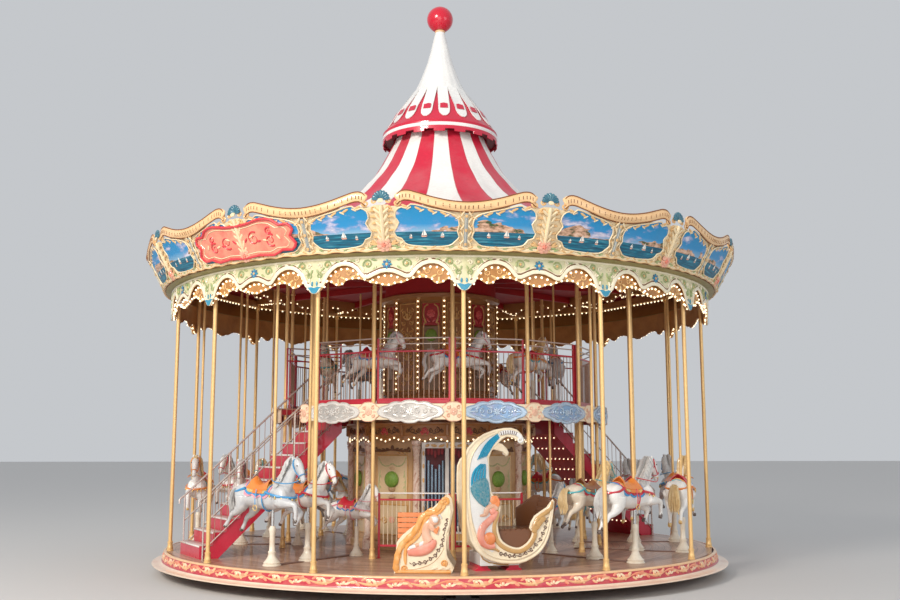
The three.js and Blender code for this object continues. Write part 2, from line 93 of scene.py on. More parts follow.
floor_mesh = bpy.data.meshes.new("floor")
floor_bm = bmesh.new()
bmesh.ops.create_grid(floor_bm, x_segments=1, y_segments=1, size=150)
bmesh.ops.translate(floor_bm, vec=(0, 0, -0.002), verts=floor_bm.verts)
floor_bm.to_mesh(floor_mesh)
floor_bm.free()
floor_mesh.materials.append(plain_material("pale_floor", (0.62, 0.61, 0.60), 0.8))
floor = bpy.data.objects.new("floor", floor_mesh)
bpy.context.collection.objects.link(floor)

world = bpy.data.worlds.new("studio_sky")
world.use_nodes = True
world.node_tree.nodes["Background"].inputs["Color"].default_value = (0.90, 0.93, 0.97, 1)
world.node_tree.nodes["Background"].inputs["Strength"].default_value = 0.62
bpy.context.scene.world = world


def sky_panel(name, place, target, size, watts, colour):
    data = bpy.data.lights.new(name, "AREA")
    data.shape = "DISK"
    data.size = size
    data.energy = watts
    data.color = colour
    lamp = bpy.data.objects.new(name, data)
    lamp.location = place
    lamp.rotation_euler = (Vector(target) - Vector(place)).to_track_quat("-Z", "Y").to_euler()
    bpy.context.collection.objects.link(lamp)


sky_panel("key_panel", (-17, -24, 17), (0, 0, 4), 8, 6800, (1.0, 0.95, 0.88))
sky_panel("fill_panel", (20, -22, 9), (0, 0, 4), 14, 900, (0.92, 0.96, 1.0))
sky_panel("front_panel", (-4, -30, 6), (0, 0, 2), 16, 1300, (1.0, 0.95, 0.88))

# Platform rim: a sheet-metal band with painted scroll relief round the deck edge, and the flared
# lip below it that hides the gap to the ground. Bolted to the deck frame in fourteen lengths.
BAYS = 14
BAY = 2 * math.pi / BAYS
DECK_TOP = 0.42
CAROUSEL = "carousel"
THIN_ROD = 0.0135


def seam(n):
    return n * BAY


def middle(k):
    return (k + 0.5) * BAY


def on_ring(radius, angle, height):
    return Vector((radius * math.sin(angle), -radius * math.cos(angle), height))


ALL_SEAMS = [seam(n) for n in range(BAYS)]
ALL_MIDDLES = [middle(k) for k in range(BAYS)]


def node_group(name, inputs, outputs):
    group = bpy.data.node_groups.new(name, "ShaderNodeTree")
    for label, kind, value in inputs:
        socket = group.interface.new_socket(label, in_out="INPUT", socket_type=kind)
        socket.default_value = value
    for label, kind in outputs:
        group.interface.new_socket(label, in_out="OUTPUT", socket_type=kind)
    return group, group.nodes.new("NodeGroupInput"), group.nodes.new("NodeGroupOutput")


def feed(tree, socket, value):
    """Links a value to a socket, or sets it there where it is a plain one."""
    if isinstance(value, bpy.types.NodeSocket):
        tree.links.new(value, socket)
    else:
        socket.default_value = value


def mix_colour(tree, blend, factor, first, second):
    node = tree.nodes.new("ShaderNodeMix")
    node.data_type = "RGBA"
    node.blend_type = blend
    for socket, value in ((node.inputs[0], factor), (node.inputs[6], first), (node.inputs[7], second)):
        feed(tree, socket, value)
    return node.outputs[2]


def number(tree, operation, first, second=0.0, third=0.0):
    node = tree.nodes.new("ShaderNodeMath")
    node.operation = operation
    for socket, value in zip(node.inputs, (first, second, third)):
        feed(tree, socket, value)
    return node.outputs[0]


def ramp(tree, value, stops):
    node = tree.nodes.new("ShaderNodeValToRGB")
    while len(node.color_ramp.elements) < len(stops):
        node.color_ramp.elements.new(0.5)
    for element, (place, colour) in zip(node.color_ramp.elements, stops):
        element.position = place
        element.color = (*colour, 1)
    tree.links.new(value, node.inputs[0])
    return node.outputs[0]


def noise_at(tree, vector, scale, detail=3.0, rough=0.5):
    node = tree.nodes.new("ShaderNodeTexNoise")
    for label, value in (("Scale", scale), ("Detail", detail), ("Roughness", rough)):
        feed(tree, node.inputs[label], value)
    tree.links.new(vector, node.inputs["Vector"])
    return node.outputs["Fac"]


def aged_paint_group():
    group, source, result = node_group(
        "aged_paint",
        [("Colour", "NodeSocketColor", (1, 1, 1, 1)), ("Grime Colour", "NodeSocketColor", (0.3, 0.2, 0.1, 1)),
         ("Grime", "NodeSocketFloat", 0.3), ("Size", "NodeSocketFloat", 4.0),
         ("Roughness", "NodeSocketFloat", 0.4)],
        [("Colour", "NodeSocketColor"), ("Roughness", "NodeSocketFloat"), ("Height", "NodeSocketFloat")])
    place = group.nodes.new("ShaderNodeTexCoord").outputs["Object"]
    broad = noise_at(group, place, source.outputs["Size"], 4.0, 0.6)
    fine = noise_at(group, place, number(group, "MULTIPLY", source.outputs["Size"], 14.0), 2.0)
    patch = number(group, "MULTIPLY_ADD", number(group, "SUBTRACT", broad, 0.42), 3.0, 0.0)
    patch = number(group, "MAXIMUM", number(group, "MINIMUM", patch, 1.0), 0.0)
    stain = number(group, "MULTIPLY", patch, source.outputs["Grime"])
    coloured = mix_colour(group, "MIX", stain, source.outputs["Colour"], source.outputs["Grime Colour"])
    shade = number(group, "MULTIPLY_ADD", number(group, "SUBTRACT", fine, 0.5), 0.22, 1.0)
    bright = group.nodes.new("ShaderNodeVectorMath")
    bright.operation = "SCALE"
    group.links.new(coloured, bright.inputs[0])
    group.links.new(shade, bright.inputs["Scale"])
    group.links.new(bright.outputs[0], result.inputs["Colour"])
    wear = number(group, "MULTIPLY_ADD", number(group, "SUBTRACT", broad, 0.5), 0.3, source.outputs["Roughness"])
    group.links.new(wear, result.inputs["Roughness"])
    group.links.new(number(group, "MULTIPLY_ADD", fine, 0.5, broad), result.inputs["Height"])
    return group


AGED_PAINT = aged_paint_group()


def painted(name, colour, rough=0.38, grime=0.25, grime_colour=(0.35, 0.22, 0.10), size=5.0, bump=0.15,
            metallic=0.0, coat=0.0, colour_from=None):
    """A painted or metal finish; colour_from builds the colour from the tree where it isn't plain."""
    material = bpy.data.materials.new(name)
    material.use_nodes = True
    tree = material.node_tree
    shader = tree.nodes["Principled BSDF"]
    aged = tree.nodes.new("ShaderNodeGroup")
    aged.node_tree = AGED_PAINT
    if colour_from:
        tree.links.new(colour_from(tree), aged.inputs["Colour"])
    else:
        aged.inputs["Colour"].default_value = (*colour, 1)
    aged.inputs["Grime Colour"].default_value = (*grime_colour, 1)
    aged.inputs["Grime"].default_value = grime
    aged.inputs["Size"].default_value = size
    aged.inputs["Roughness"].default_value = rough
    tree.links.new(aged.outputs["Colour"], shader.inputs["Base Color"])
    tree.links.new(aged.outputs["Roughness"], shader.inputs["Roughness"])
    shader.inputs["Metallic"].default_value = metallic
    shader.inputs["Coat Weight"].default_value = coat
    relief = tree.nodes.new("ShaderNodeBump")
    relief.inputs["Strength"].default_value = bump
    relief.inputs["Distance"].default_value = 0.004
    tree.links.new(aged.outputs["Height"], relief.inputs["Height"])
    tree.links.new(relief.outputs["Normal"], shader.inputs["Normal"])
    return material


def piece(name, bm, materials, nodes=(), body=CAROUSEL, sharp=35.0, flip=True):
    """Makes a mesh object of the shape, lets it ride on its body and stand for its nodes."""
    if flip:
        bmesh.ops.recalc_face_normals(bm, faces=bm.faces)
    mesh = bpy.data.meshes.new(name)
    bm.to_mesh(mesh)
    bm.free()
    for material in materials:
        mesh.materials.append(material)
    mesh.shade_smooth()
    mesh.set_sharp_from_angle(angle=math.radians(sharp))
    made = bpy.data.objects.new(name, mesh)
    bpy.context.collection.objects.link(made)
    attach(made, body)
    if nodes:
        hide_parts(*nodes)
    return made


def absorb(bm, part, paint=None, matrix=None, shift=0):
    """Adds a finished small shape to a larger one, in place."""
    if matrix is not None:
        bmesh.ops.transform(part, matrix=matrix, verts=part.verts)
    for face in part.faces:
        face.material_index = (face.material_index if paint is None else paint) + shift
    mesh = bpy.data.meshes.new("part")
    part.to_mesh(mesh)
    part.free()
    bm.from_mesh(mesh)
    bpy.data.meshes.remove(mesh)


def spun(bm, profile, steps=112, paint=0, closed=True, start=0.0, sweep=2 * math.pi):
    """Turns a [radius, height] profile about the carousel's axis and adds it to the shape."""
    part = bmesh.new()
    verts = [part.verts.new(on_ring(r, start, z)) for r, z in profile]
    edges = [part.edges.new(pair) for pair in zip(verts, verts[1:])]
    if closed:
        edges.append(part.edges.new((verts[-1], verts[0])))
    full = abs(sweep - 2 * math.pi) < 1e-6
    bmesh.ops.spin(part, geom=verts + edges, cent=(0, 0, 0), axis=(0, 0, 1), dvec=(0, 0, 0), angle=sweep,
                   steps=steps, use_merge=full, use_duplicate=False)
    bmesh.ops.remove_doubles(part, verts=part.verts, dist=1e-5)
    absorb(bm, part, paint)
    return bm


def copies_round(bm, angles):
    """Copies of a bay's shape turned round the axis, joined in one mesh."""
    source = bpy.data.meshes.new("one_bay")
    bm.to_mesh(source)
    bm.free()
    whole = bmesh.new()
    for angle in angles:
        part = bmesh.new()
        part.from_mesh(source)
        absorb(whole, part, None, Matrix.Rotation(angle, 4, "Z"))
    bpy.data.meshes.remove(source)
    return whole


def bend(verts, surface, reference):
    """Wraps flat shapes (x along, z up, -y outwards) round the axis on a [radius, height] surface."""
    for vert in verts:
        radius, height, out_r, out_z = surface(vert.co.z)
        lift = -vert.co.y
        angle = vert.co.x / reference
        vert.co = on_ring(radius + lift * out_r, angle, height + lift * out_z)


def tube(bm, points, radius, paint=0, taper=None, sides=1, closed=False, flat=1.0):
    """A round or flattened rod, or a square one where it is thin; taper gives shares of the radius."""
    curve = bpy.data.curves.new("rod", "CURVE")
    curve.dimensions = "3D"
    curve.bevel_depth = radius
    curve.bevel_resolution = 0 if radius < THIN_ROD else sides
    curve.use_fill_caps = not closed
    spline = curve.splines.new("POLY")
    spline.points.add(len(points) - 1)
    spline.use_cyclic_u = closed
    for i, point in enumerate(points):
        spline.points[i].co = (*point, 1)
        spline.points[i].radius = taper[i] if taper else 1.0
    holder = bpy.data.objects.new("rod", curve)
    mesh = bpy.data.meshes.new_from_object(holder)
    mesh.polygons.foreach_set("material_index", [paint] * len(mesh.polygons))
    if flat != 1.0:
        middle_y = sum(v.co.y for v in mesh.vertices) / len(mesh.vertices)
        for vert in mesh.vertices:
            vert.co.y = middle_y + (vert.co.y - middle_y) * flat
    bm.from_mesh(mesh)
    bpy.data.objects.remove(holder)
    bpy.data.meshes.remove(mesh)
    bpy.data.curves.remove(curve)


def curl(bm, centre, size, first, turns, thick, paint, lift=0.0, steps=14, shrink=0.2, fade=(1.3, 0.7),
         mirror=1, sides=1):
    """A carved scroll in x and z that winds inwards about its centre and grows thinner on the way."""
    points, taper = [], []
    for i in range(steps + 1):
        t = i / steps
        r = size * (1 - (1 - shrink) * t)
        a = first + turns * 2 * math.pi * t
        points.append(Vector((mirror * (centre[0] + r * math.cos(a)), -lift, centre[1] + r * math.sin(a))))
        taper.append(fade[0] - fade[1] * i / steps)
    tube(bm, points, thick, paint, taper, sides=sides)


def paint_faces(made, paint):
    for face in {f for v in made["verts"] for f in v.link_faces}:
        face.material_index = paint


def leaf(bm, centre, length, width, thick, angle, paint=0):
    """A small carved leaf: a flattened ball with its long side turned to the angle in x and z."""
    turn = Matrix.Translation((centre[0], centre[2] if len(centre) > 2 else 0, centre[1]))
    turn @= Matrix.Rotation(-angle, 4, "Y") @ Matrix.Diagonal((length, thick, width, 1))
    made = bmesh.ops.create_uvsphere(bm, u_segments=6, v_segments=4, radius=1, matrix=turn)
    paint_faces(made, paint)


RIM_LIP = [(5.2103, 0.187), (5.452, 0.187), (5.462, 0.190), (5.464, 0.197), (5.455, 0.204), (5.43, 0.208),
           (5.38, 0.211), (5.33, 0.217), (5.312, 0.228), (5.296, 0.24), (5.2103, 0.24)]
RIM_BAND = [(5.2103, 0.24), (5.292, 0.243), (5.284, 0.262), (5.272, 0.268), (5.25, 0.385), (5.258, 0.392),
            (5.256, 0.404), (5.246, 0.416), (5.238, 0.4185), (5.2103, 0.4185)]
BAND_MIDDLE = 0.327
BAND_BEND = 5.26

lip_paint = painted("peach_lip", (0.90, 0.72, 0.55), 0.35, 0.35, (0.55, 0.20, 0.14), 2.5, coat=0.3)
band_red = painted("rim_red", (0.52, 0.035, 0.06), 0.35, 0.3, (0.75, 0.35, 0.25), 6.0, coat=0.3)
band_gold = painted("rim_gold", (0.86, 0.56, 0.30), 0.33, 0.45, (0.74, 0.22, 0.13), 9.0, coat=0.3)
band_cream = painted("rim_cream", (0.90, 0.74, 0.50), 0.33, 0.4, (0.80, 0.36, 0.22), 9.0, coat=0.3)
band_coral = painted("rim_coral", (0.82, 0.28, 0.17), 0.35, 0.45, (0.90, 0.55, 0.32), 9.0, coat=0.3)


def rim_band_surface(v):
    return 5.262 - (v - BAND_MIDDLE) * 0.19, v, 0.98, 0.19


def rim_scrolls():
    """One bay of thick running scrolls with leaves, drawn flat and bent on the band."""
    bm = bmesh.new()
    length = BAY * BAND_BEND
    waves = 6
    step = length / waves
    for i in range(waves):
        x0 = -length / 2 + (i + 0.5) * step
        up = 1 if i % 2 else -1
        paint = 1 if i % 2 else 0
        stem = [Vector((x0 - step / 2 + step * t, 0, BAND_MIDDLE - 0.004 + up * 0.034 * math.sin(math.pi * t)))
                for t in (j / 7 for j in range(8))]
        tube(bm, stem, 0.014, paint, [0.6 + 0.8 * math.sin(math.pi * j / 7) for j in range(8)], sides=0)
        curl(bm, (x0 - 0.03, BAND_MIDDLE - up * 0.012), 0.046, up * 0.6, up * 1.3, 0.013, paint, 0.0, 12, 0.15,
             (1.3, 0.8), sides=0)
        for j in range(3):
            leaf(bm, (x0 + 0.060 + 0.058 * j, BAND_MIDDLE + up * (0.020 - 0.022 * j)), 0.062, 0.026, 0.014,
                 up * (0.8 - 0.7 * j), 1 - paint if j == 1 else paint)
            leaf(bm, (x0 - 0.115 + 0.075 * j, BAND_MIDDLE - up * (0.040 - 0.010 * j)), 0.058, 0.020, 0.011,
                 -up * (0.5 - 0.5 * j), 2 if j else 1 - paint)
        leaf(bm, (x0 - 0.03, BAND_MIDDLE - up * 0.012), 0.024, 0.022, 0.016, 0, 2)
    bend(bm.verts, rim_band_surface, BAND_BEND)
    return bm


rim_bm = spun(bmesh.new(), RIM_LIP, 168, 0)
spun(rim_bm, RIM_BAND, 168, 1)
for rim_face in rim_bm.faces:
    if rim_face.calc_center_median().z > 0.384 and rim_face.material_index == 1:
        rim_face.material_index = 2
piece("rim_band", rim_bm, [lip_paint, band_red, band_gold], ["platform_rim"])
piece("rim_scrolls", copies_round(rim_scrolls(), ALL_MIDDLES),
      [band_gold, band_coral, band_cream])

# Lower deck: boards of varnished hardwood laid in rings round the axis on the steel platform
# frame, worn pale where riders walk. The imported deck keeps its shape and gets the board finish.


def place_on(tree):
    """The x, y and z of a point of the piece."""
    split = tree.nodes.new("ShaderNodeSeparateXYZ")
    tree.links.new(tree.nodes.new("ShaderNodeTexCoord").outputs["Object"], split.inputs[0])
    return split.outputs


def from_axis(tree, x, y):
    return number(tree, "SQRT", number(tree, "ADD", number(tree, "MULTIPLY", x, x), number(tree, "MULTIPLY", y, y)))


def joined(tree, *values):
    """A point made of up to three values."""
    node = tree.nodes.new("ShaderNodeCombineXYZ")
    for socket, value in zip(node.inputs, values):
        feed(tree, socket, value)
    return node.outputs[0]


def deck_colour(tree):
    x, y, _ = place_on(tree)
    radius = from_axis(tree, x, y)
    angle = number(tree, "ARCTAN2", x, y)
    board = number(tree, "MULTIPLY", radius, 1 / 0.12)
    row = number(tree, "FLOOR", board)
    sector = number(tree, "FLOOR", number(tree, "MULTIPLY", angle, BAYS / (2 * math.pi)))
    pick = tree.nodes.new("ShaderNodeTexWhiteNoise")
    pick.noise_dimensions = "2D"
    tree.links.new(joined(tree, row, sector), pick.inputs["Vector"])
    along_grain = joined(tree, number(tree, "MULTIPLY", radius, 40.0), number(tree, "MULTIPLY", angle, 6.0))
    grain = noise_at(tree, along_grain, 1.0, 4.0, 0.6)
    base = ramp(tree, pick.outputs["Value"], [(0.0, (0.40, 0.22, 0.14)), (0.5, (0.52, 0.31, 0.205)),
                                              (1.0, (0.62, 0.40, 0.28))])
    streak = ramp(tree, grain, [(0.3, (0.55, 0.50, 0.48)), (0.7, (1.1, 1.05, 1.0))])
    wood = mix_colour(tree, "MULTIPLY", 0.8, base, streak)
    gap = number(tree, "LESS_THAN", number(tree, "FRACT", board), 0.06)
    return mix_colour(tree, "MIX", gap, wood, (0.10, 0.05, 0.04, 1))


deck_boards = painted("deck_boards", None, 0.42, 0.3, (0.55, 0.42, 0.36), 1.2, bump=0.3, coat=0.2,
                      colour_from=deck_colour)
dark_steel = painted("dark_steel", (0.05, 0.045, 0.045), 0.6, 0.4, (0.16, 0.10, 0.07), 3.0)


def finish_node(name, material):
    node = bpy.data.objects[name]
    if not node.material_slots:
        node.data.materials.append(material)
    for place in node.material_slots:
        place.material = material


finish_node("lower_deck", deck_boards)
finish_node("base_frame", dark_steel)
finish_node("centre_spindle", dark_steel)

# Bay frames: fourteen pairs of brass-sleeved steel poles under varnished wooden rafters, which are
# tied by header beams over the outer poles and carry rows of bulbs. The poles stand in turned cups.
POLE_RING = 5.15
INNER_POLE_RING = 3.10
POLE = 0.035
RAFTER_LOW = 5.56
RAFTER_HIGH = 5.70
RAFTER_STEP = 4.05
BULB = 0.019

brass = painted("pole_brass", (0.86, 0.56, 0.24), 0.34, 0.12, (0.60, 0.34, 0.12), 1.1, bump=0.02, metallic=0.35)
ceiling_wood = painted("varnished_brown", (0.42, 0.19, 0.055), 0.36, 0.4, (0.22, 0.08, 0.02), 2.2, coat=0.3)
edge_gold = painted("edge_gold", (0.84, 0.56, 0.24), 0.33, 0.3, (0.45, 0.2, 0.06), 7.0, coat=0.3)

bulb_glass = bpy.data.materials.new("lit_bulb")
bulb_glass.use_nodes = True
bulb_shader = bulb_glass.node_tree.nodes["Principled BSDF"]
bulb_shader.inputs["Base Color"].default_value = (1.0, 0.93, 0.78, 1)
bulb_shader.inputs["Roughness"].default_value = 0.15
bulb_shader.inputs["Emission Color"].default_value = (1.0, 0.83, 0.55, 1)
bulb_shader.inputs["Emission Strength"].default_value = 2.0


def post(bm, place, radius, low, high, paint=0, sides=12):
    middle_of = Matrix.Translation((place[0], place[1], (low + high) / 2))
    made = bmesh.ops.create_cone(bm, cap_ends=True, segments=sides, radius1=radius, radius2=radius,
                                 depth=high - low, matrix=middle_of)
    paint_faces(made, paint)


def board(bm, low, high, paint=0, soften=0.0, matrix=None):
    """A board between two corners, its edges eased where a radius is given."""
    size = Vector(high) - Vector(low)
    place = Matrix.Translation((Vector(high) + Vector(low)) / 2) @ Matrix.Diagonal((*size, 1))
    made = bmesh.ops.create_cube(bm, size=1, matrix=(matrix or Matrix.Identity(4)) @ place)["verts"]
    faces = {f for v in made for f in v.link_faces}
    if soften:
        eased = bmesh.ops.bevel(bm, geom=list({e for f in faces for e in f.edges}), affect="EDGES", offset=soften,
                                segments=1, profile=0.5, material=-1)
        faces = {f for v in eased["verts"] for f in v.link_faces}
    for face in faces:
        face.material_index = paint


def turned_cup(bm, centre, profile, paint=0, steps=12):
    """A small turned piece: a [radius, height] profile spun about an upright line."""
    part = bmesh.new()
    verts = [part.verts.new((r, 0, z)) for r, z in profile]
    edges = [part.edges.new(pair) for pair in zip(verts, verts[1:])]
    bmesh.ops.spin(part, geom=verts + edges, cent=(0, 0, 0), axis=(0, 0, 1), angle=2 * math.pi, steps=steps,
                   use_merge=True, use_duplicate=False)
    bmesh.ops.remove_doubles(part, verts=part.verts, dist=1e-5)
    bmesh.ops.recalc_face_normals(part, faces=part.faces)
    absorb(bm, part, paint, Matrix.Translation(centre))


def bulbs(bm, places, radius=BULB, paint=0):
    for place in places:
        made = bmesh.ops.create_icosphere(bm, subdivisions=1, radius=radius,
                                          matrix=Matrix.Translation(place) @ Matrix.Rotation(0.4, 4, "X"))
        paint_faces(made, paint)


CUP = [(0, 0), (0.062, 0), (0.062, 0.018), (0.052, 0.028), (0.058, 0.05), (0.05, 0.075), (0.044, 0.13),
       (0.049, 0.15), (0.049, 0.168), (0.037, 0.175), (0, 0.175)]
COLLAR = [(0, 0), (0.04, 0.0), (0.05, 0.012), (0.05, 0.03), (0.04, 0.042), (0, 0.042)]


def bay_poles():
    """The outer and inner pole of one seam with their cups and collars, made at angle 0."""
    bm = bmesh.new()
    for ring in (POLE_RING, INNER_POLE_RING):
        post(bm, (0, -ring), POLE, DECK_TOP + 0.01, RAFTER_LOW + 0.02, 0, 14)
        turned_cup(bm, Vector((0, -ring, DECK_TOP + 0.001)), CUP, 0)
        turned_cup(bm, Vector((0, -ring, 5.42)), COLLAR, 0)
    return bm


def bay_rafter():
    """A rafter with a moulded lower edge and its row of bulbs, and half of the header on each side."""
    bm = bmesh.new()
    board(bm, (-0.038, -5.53, RAFTER_LOW + 0.012), (0.038, -4.09, RAFTER_HIGH - 0.001), 0, 0.006)
    board(bm, (-0.038, -4.05, RAFTER_LOW + 0.012), (0.038, -0.92, RAFTER_HIGH - 0.001), 3, 0.006)
    board(bm, (-0.052, -5.46, RAFTER_LOW), (0.052, -4.09, RAFTER_LOW + 0.02), 1, 0.004)
    row = [(side * 0.03, -5.0 + 0.13 * i, RAFTER_LOW - 0.004) for i in range(7) for side in (-1, 1)]
    bulbs(bm, row, BULB, 2)
    return bm


def bay_header():
    """The header beam over one bay at angle 0, with a bead and two rows of bulbs below."""
    bm = bmesh.new()
    inward = POLE_RING * math.cos(BAY / 2)
    reach = POLE_RING * math.sin(BAY / 2) - 0.02
    board(bm, (-reach, -inward - 0.03, 5.50), (reach, -inward + 0.03, 5.65), 0, 0.006)
    board(bm, (-reach, -inward - 0.042, 5.49), (reach, -inward + 0.042, 5.51), 1, 0.004)
    bulbs(bm, [(-reach + 0.09 + 0.115 * i, -inward, 5.478) for i in range(19)], BULB, 2)
    second = RAFTER_STEP * math.cos(BAY / 2)
    span = RAFTER_STEP * math.sin(BAY / 2) - 0.04
    wave = [(-span + 2 * span * i / 24, 5.46 + 0.05 * math.cos(6 * math.pi * i / 24)) for i in range(25)]
    outline = [bm.verts.new((x, -second - 0.012, z)) for x, z in [(-span, 5.69)] + wave + [(span, 5.69)]]
    lined = bmesh.ops.extrude_face_region(bm, geom=[bm.faces.new(outline)])["geom"]
    bmesh.ops.translate(bm, vec=(0, 0.024, 0), verts=[g for g in lined if isinstance(g, bmesh.types.BMVert)])
    for side in (-1, 1):
        bulbs(bm, [(x, -second + side * 0.016, z + 0.018) for x, z in wave[1:-1:2]], 0.017, 2)
    return bm


FRAMES = [f"bay_frame_{n}" for n in range(1, 8)]
piece("brass_poles", copies_round(bay_poles(), ALL_SEAMS), [brass], FRAMES)
rafter_red = painted("rafter_red", (0.36, 0.006, 0.008), 0.55, 0.15, (0.20, 0.004, 0.006), 1.5)
piece("rafters", copies_round(bay_rafter(), ALL_SEAMS), [ceiling_wood, edge_gold, bulb_glass, rafter_red],
      FRAMES)
piece("header_beams", copies_round(bay_header(), ALL_MIDDLES), [ceiling_wood, edge_gold, bulb_glass],
      FRAMES)

# Ceiling lining: dark red painted boards that run outwards over the rafters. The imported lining
# stays, with its holes for the horse poles, and gets the painted board finish.
CEILING_BOARDS = 112


def ceiling_colour(tree):
    x, y, _ = place_on(tree)
    angle = number(tree, "ARCTAN2", x, y)
    board_at = number(tree, "FRACT", number(tree, "MULTIPLY", angle, CEILING_BOARDS / (2 * math.pi)))
    gap = number(tree, "LESS_THAN", board_at, 0.07)
    return mix_colour(tree, "MIX", gap, (0.36, 0.006, 0.008, 1), (0.22, 0.002, 0.004, 1))


ceiling_red = painted("ceiling_red", None, 0.60, 0.15, (0.20, 0.004, 0.006), 1.5, colour_from=ceiling_colour)
finish_node("ceiling", ceiling_red)

# Crown: fourteen flared rounding boards of moulded plastic on plywood. Each has a gilded scroll
# moulding over two painted seascapes, a shell on top, a rose below it and posts at its ends.
CROWN_LOW = (5.41, 5.24)
CROWN_HIGH = (5.745, 5.86)
CROWN_FACE = math.hypot(CROWN_HIGH[0] - CROWN_LOW[0], CROWN_HIGH[1] - CROWN_LOW[1])
CROWN_BEND = 5.6


def crown_surface(v):
    """Radius and height of the crown's face v metres above its foot, and the outward direction."""
    dr = (CROWN_HIGH[0] - CROWN_LOW[0]) / CROWN_FACE
    dz = (CROWN_HIGH[1] - CROWN_LOW[1]) / CROWN_FACE
    bent = min(v, CROWN_FACE)
    above = max(v - CROWN_FACE, 0.0)
    return CROWN_LOW[0] + bent * dr + above * 0.03, CROWN_LOW[1] + bent * dz + above * 0.97, dz, -dr


crown_cream = painted("crown_cream", (0.86, 0.70, 0.45), 0.36, 0.35, (0.74, 0.48, 0.22), 6.0, coat=0.2)
crown_gold = painted("crown_gold", (0.80, 0.50, 0.22), 0.34, 0.4, (0.50, 0.22, 0.07), 9.0, coat=0.2)
moulding_peach = painted("moulding_peach", (0.86, 0.56, 0.29), 0.36, 0.35, (0.70, 0.36, 0.14), 5.0, coat=0.2)
crown_shadow = painted("crown_shadow", (0.20, 0.065, 0.02), 0.5, 0.3, (0.36, 0.15, 0.05), 8.0)
shell_blue = painted("shell_blue", (0.03, 0.13, 0.19), 0.30, 0.5, (0.14, 0.34, 0.38), 12.0, coat=0.3)
rose_pink = painted("rose_pink", (0.82, 0.40, 0.28), 0.35, 0.35, (0.92, 0.72, 0.50), 14.0, coat=0.3)
leaf_green = painted("leaf_green", (0.33, 0.42, 0.18), 0.38, 0.4, (0.70, 0.58, 0.30), 12.0, coat=0.3)
post_grey = painted("post_grey", (0.40, 0.43, 0.42), 0.36, 0.35, (0.72, 0.62, 0.42), 12.0, coat=0.3)


def seascape_colour(tree):
    """A generic painted sea under a clouded sky; it differs from bay to bay with the place."""
    x, y, z = place_on(tree)
    angle = number(tree, "ARCTAN2", x, y)
    flat = joined(tree, number(tree, "MULTIPLY", angle, CROWN_BEND), number(tree, "MULTIPLY", z, 2.6))
    clouds = noise_at(tree, flat, 2.4, 5.0, 0.55)
    sky_height = number(tree, "MULTIPLY", number(tree, "SUBTRACT", z, 5.47), 2.8)
    sky = ramp(tree, sky_height, [(0.0, (0.30, 0.50, 0.66)), (0.35, (0.02, 0.27, 0.58)), (1.0, (0.0, 0.24, 0.50))])
    cloud_shape = ramp(tree, clouds, [(0.53, (0, 0, 0)), (0.64, (1, 1, 1))])
    cloud_tint = ramp(tree, clouds, [(0.54, (0.34, 0.32, 0.56)), (0.72, (0.82, 0.78, 0.82))])
    clouded = mix_colour(tree, "MIX", cloud_shape, sky, cloud_tint)
    on_water = joined(tree, number(tree, "MULTIPLY", angle, 9.0), number(tree, "MULTIPLY", z, 26.0))
    ripple = noise_at(tree, on_water, 1.6, 4.0, 0.6)
    sea = ramp(tree, ripple, [(0.36, (0.00, 0.06, 0.11)), (0.52, (0.00, 0.13, 0.22)), (0.62, (0.01, 0.22, 0.32)),
                              (0.72, (0.22, 0.42, 0.48))])
    coast = noise_at(tree, flat, 1.3, 3.0, 0.55)
    hill = number(tree, "MULTIPLY_ADD", number(tree, "SUBTRACT", coast, 0.45), 0.80, 5.50)
    is_hill = number(tree, "LESS_THAN", z, hill)
    land = ramp(tree, noise_at(tree, flat, 7.0, 4.0, 0.6),
                [(0.38, (0.04, 0.09, 0.03)), (0.45, (0.36, 0.20, 0.12)), (0.54, (0.66, 0.40, 0.27)),
                 (0.66, (0.80, 0.56, 0.42))])
    with_land = mix_colour(tree, "MIX", is_hill, clouded, land)
    is_sea = number(tree, "LESS_THAN", z, 5.49)
    return mix_colour(tree, "MIX", is_sea, with_land, sea)


seascape = painted("painted_seascape", None, 0.45, 0.06, (0.4, 0.3, 0.2), 7.0, bump=0.06, coat=0.1,
                   colour_from=seascape_colour)
sail_white = painted("sail_white", (0.90, 0.87, 0.80), 0.4, 0.25, (0.65, 0.55, 0.50), 20.0)
banner_red = painted("banner_red", (0.70, 0.035, 0.055), 0.36, 0.3, (0.84, 0.20, 0.16), 5.0, coat=0.2)
banner_peach = painted("banner_peach", (0.84, 0.34, 0.22), 0.36, 0.8, (0.76, 0.06, 0.07), 3.0, coat=0.2)


def panel(bm, outline, lift, thick, paint=0, edge_paint=None, strips=0.12, rim=0.0):
    """A flat board cut to an outline in x and z, lifted outwards, in strips so that it can be bent."""
    face = bm.faces.new([bm.verts.new((x, -lift, z)) for x, z in outline])
    if rim:
        inner = bmesh.ops.inset_region(bm, faces=[face], thickness=rim, use_even_offset=True)["faces"]
        for part in inner:
            part.material_index = paint if edge_paint is None else edge_paint
    face.material_index = paint
    region = [face] + (list(inner) if rim else [])
    lows = min(x for x, _ in outline)
    highs = max(x for x, _ in outline)
    cut = lows + strips
    geom = set(region)
    while cut < highs - 0.01:
        parts = list(geom) + list({e for f in geom for e in f.edges}) + list({v for f in geom for v in f.verts})
        result = bmesh.ops.bisect_plane(bm, geom=parts, plane_co=(cut, 0, 0), plane_no=(1, 0, 0))
        geom = {g for g in result["geom"] if isinstance(g, bmesh.types.BMFace)}
        cut += strips
    raised = bmesh.ops.extrude_face_region(bm, geom=list(geom))
    fresh = [g for g in raised["geom"] if isinstance(g, bmesh.types.BMVert)]
    bmesh.ops.translate(bm, vec=(0, -thick, 0), verts=fresh)


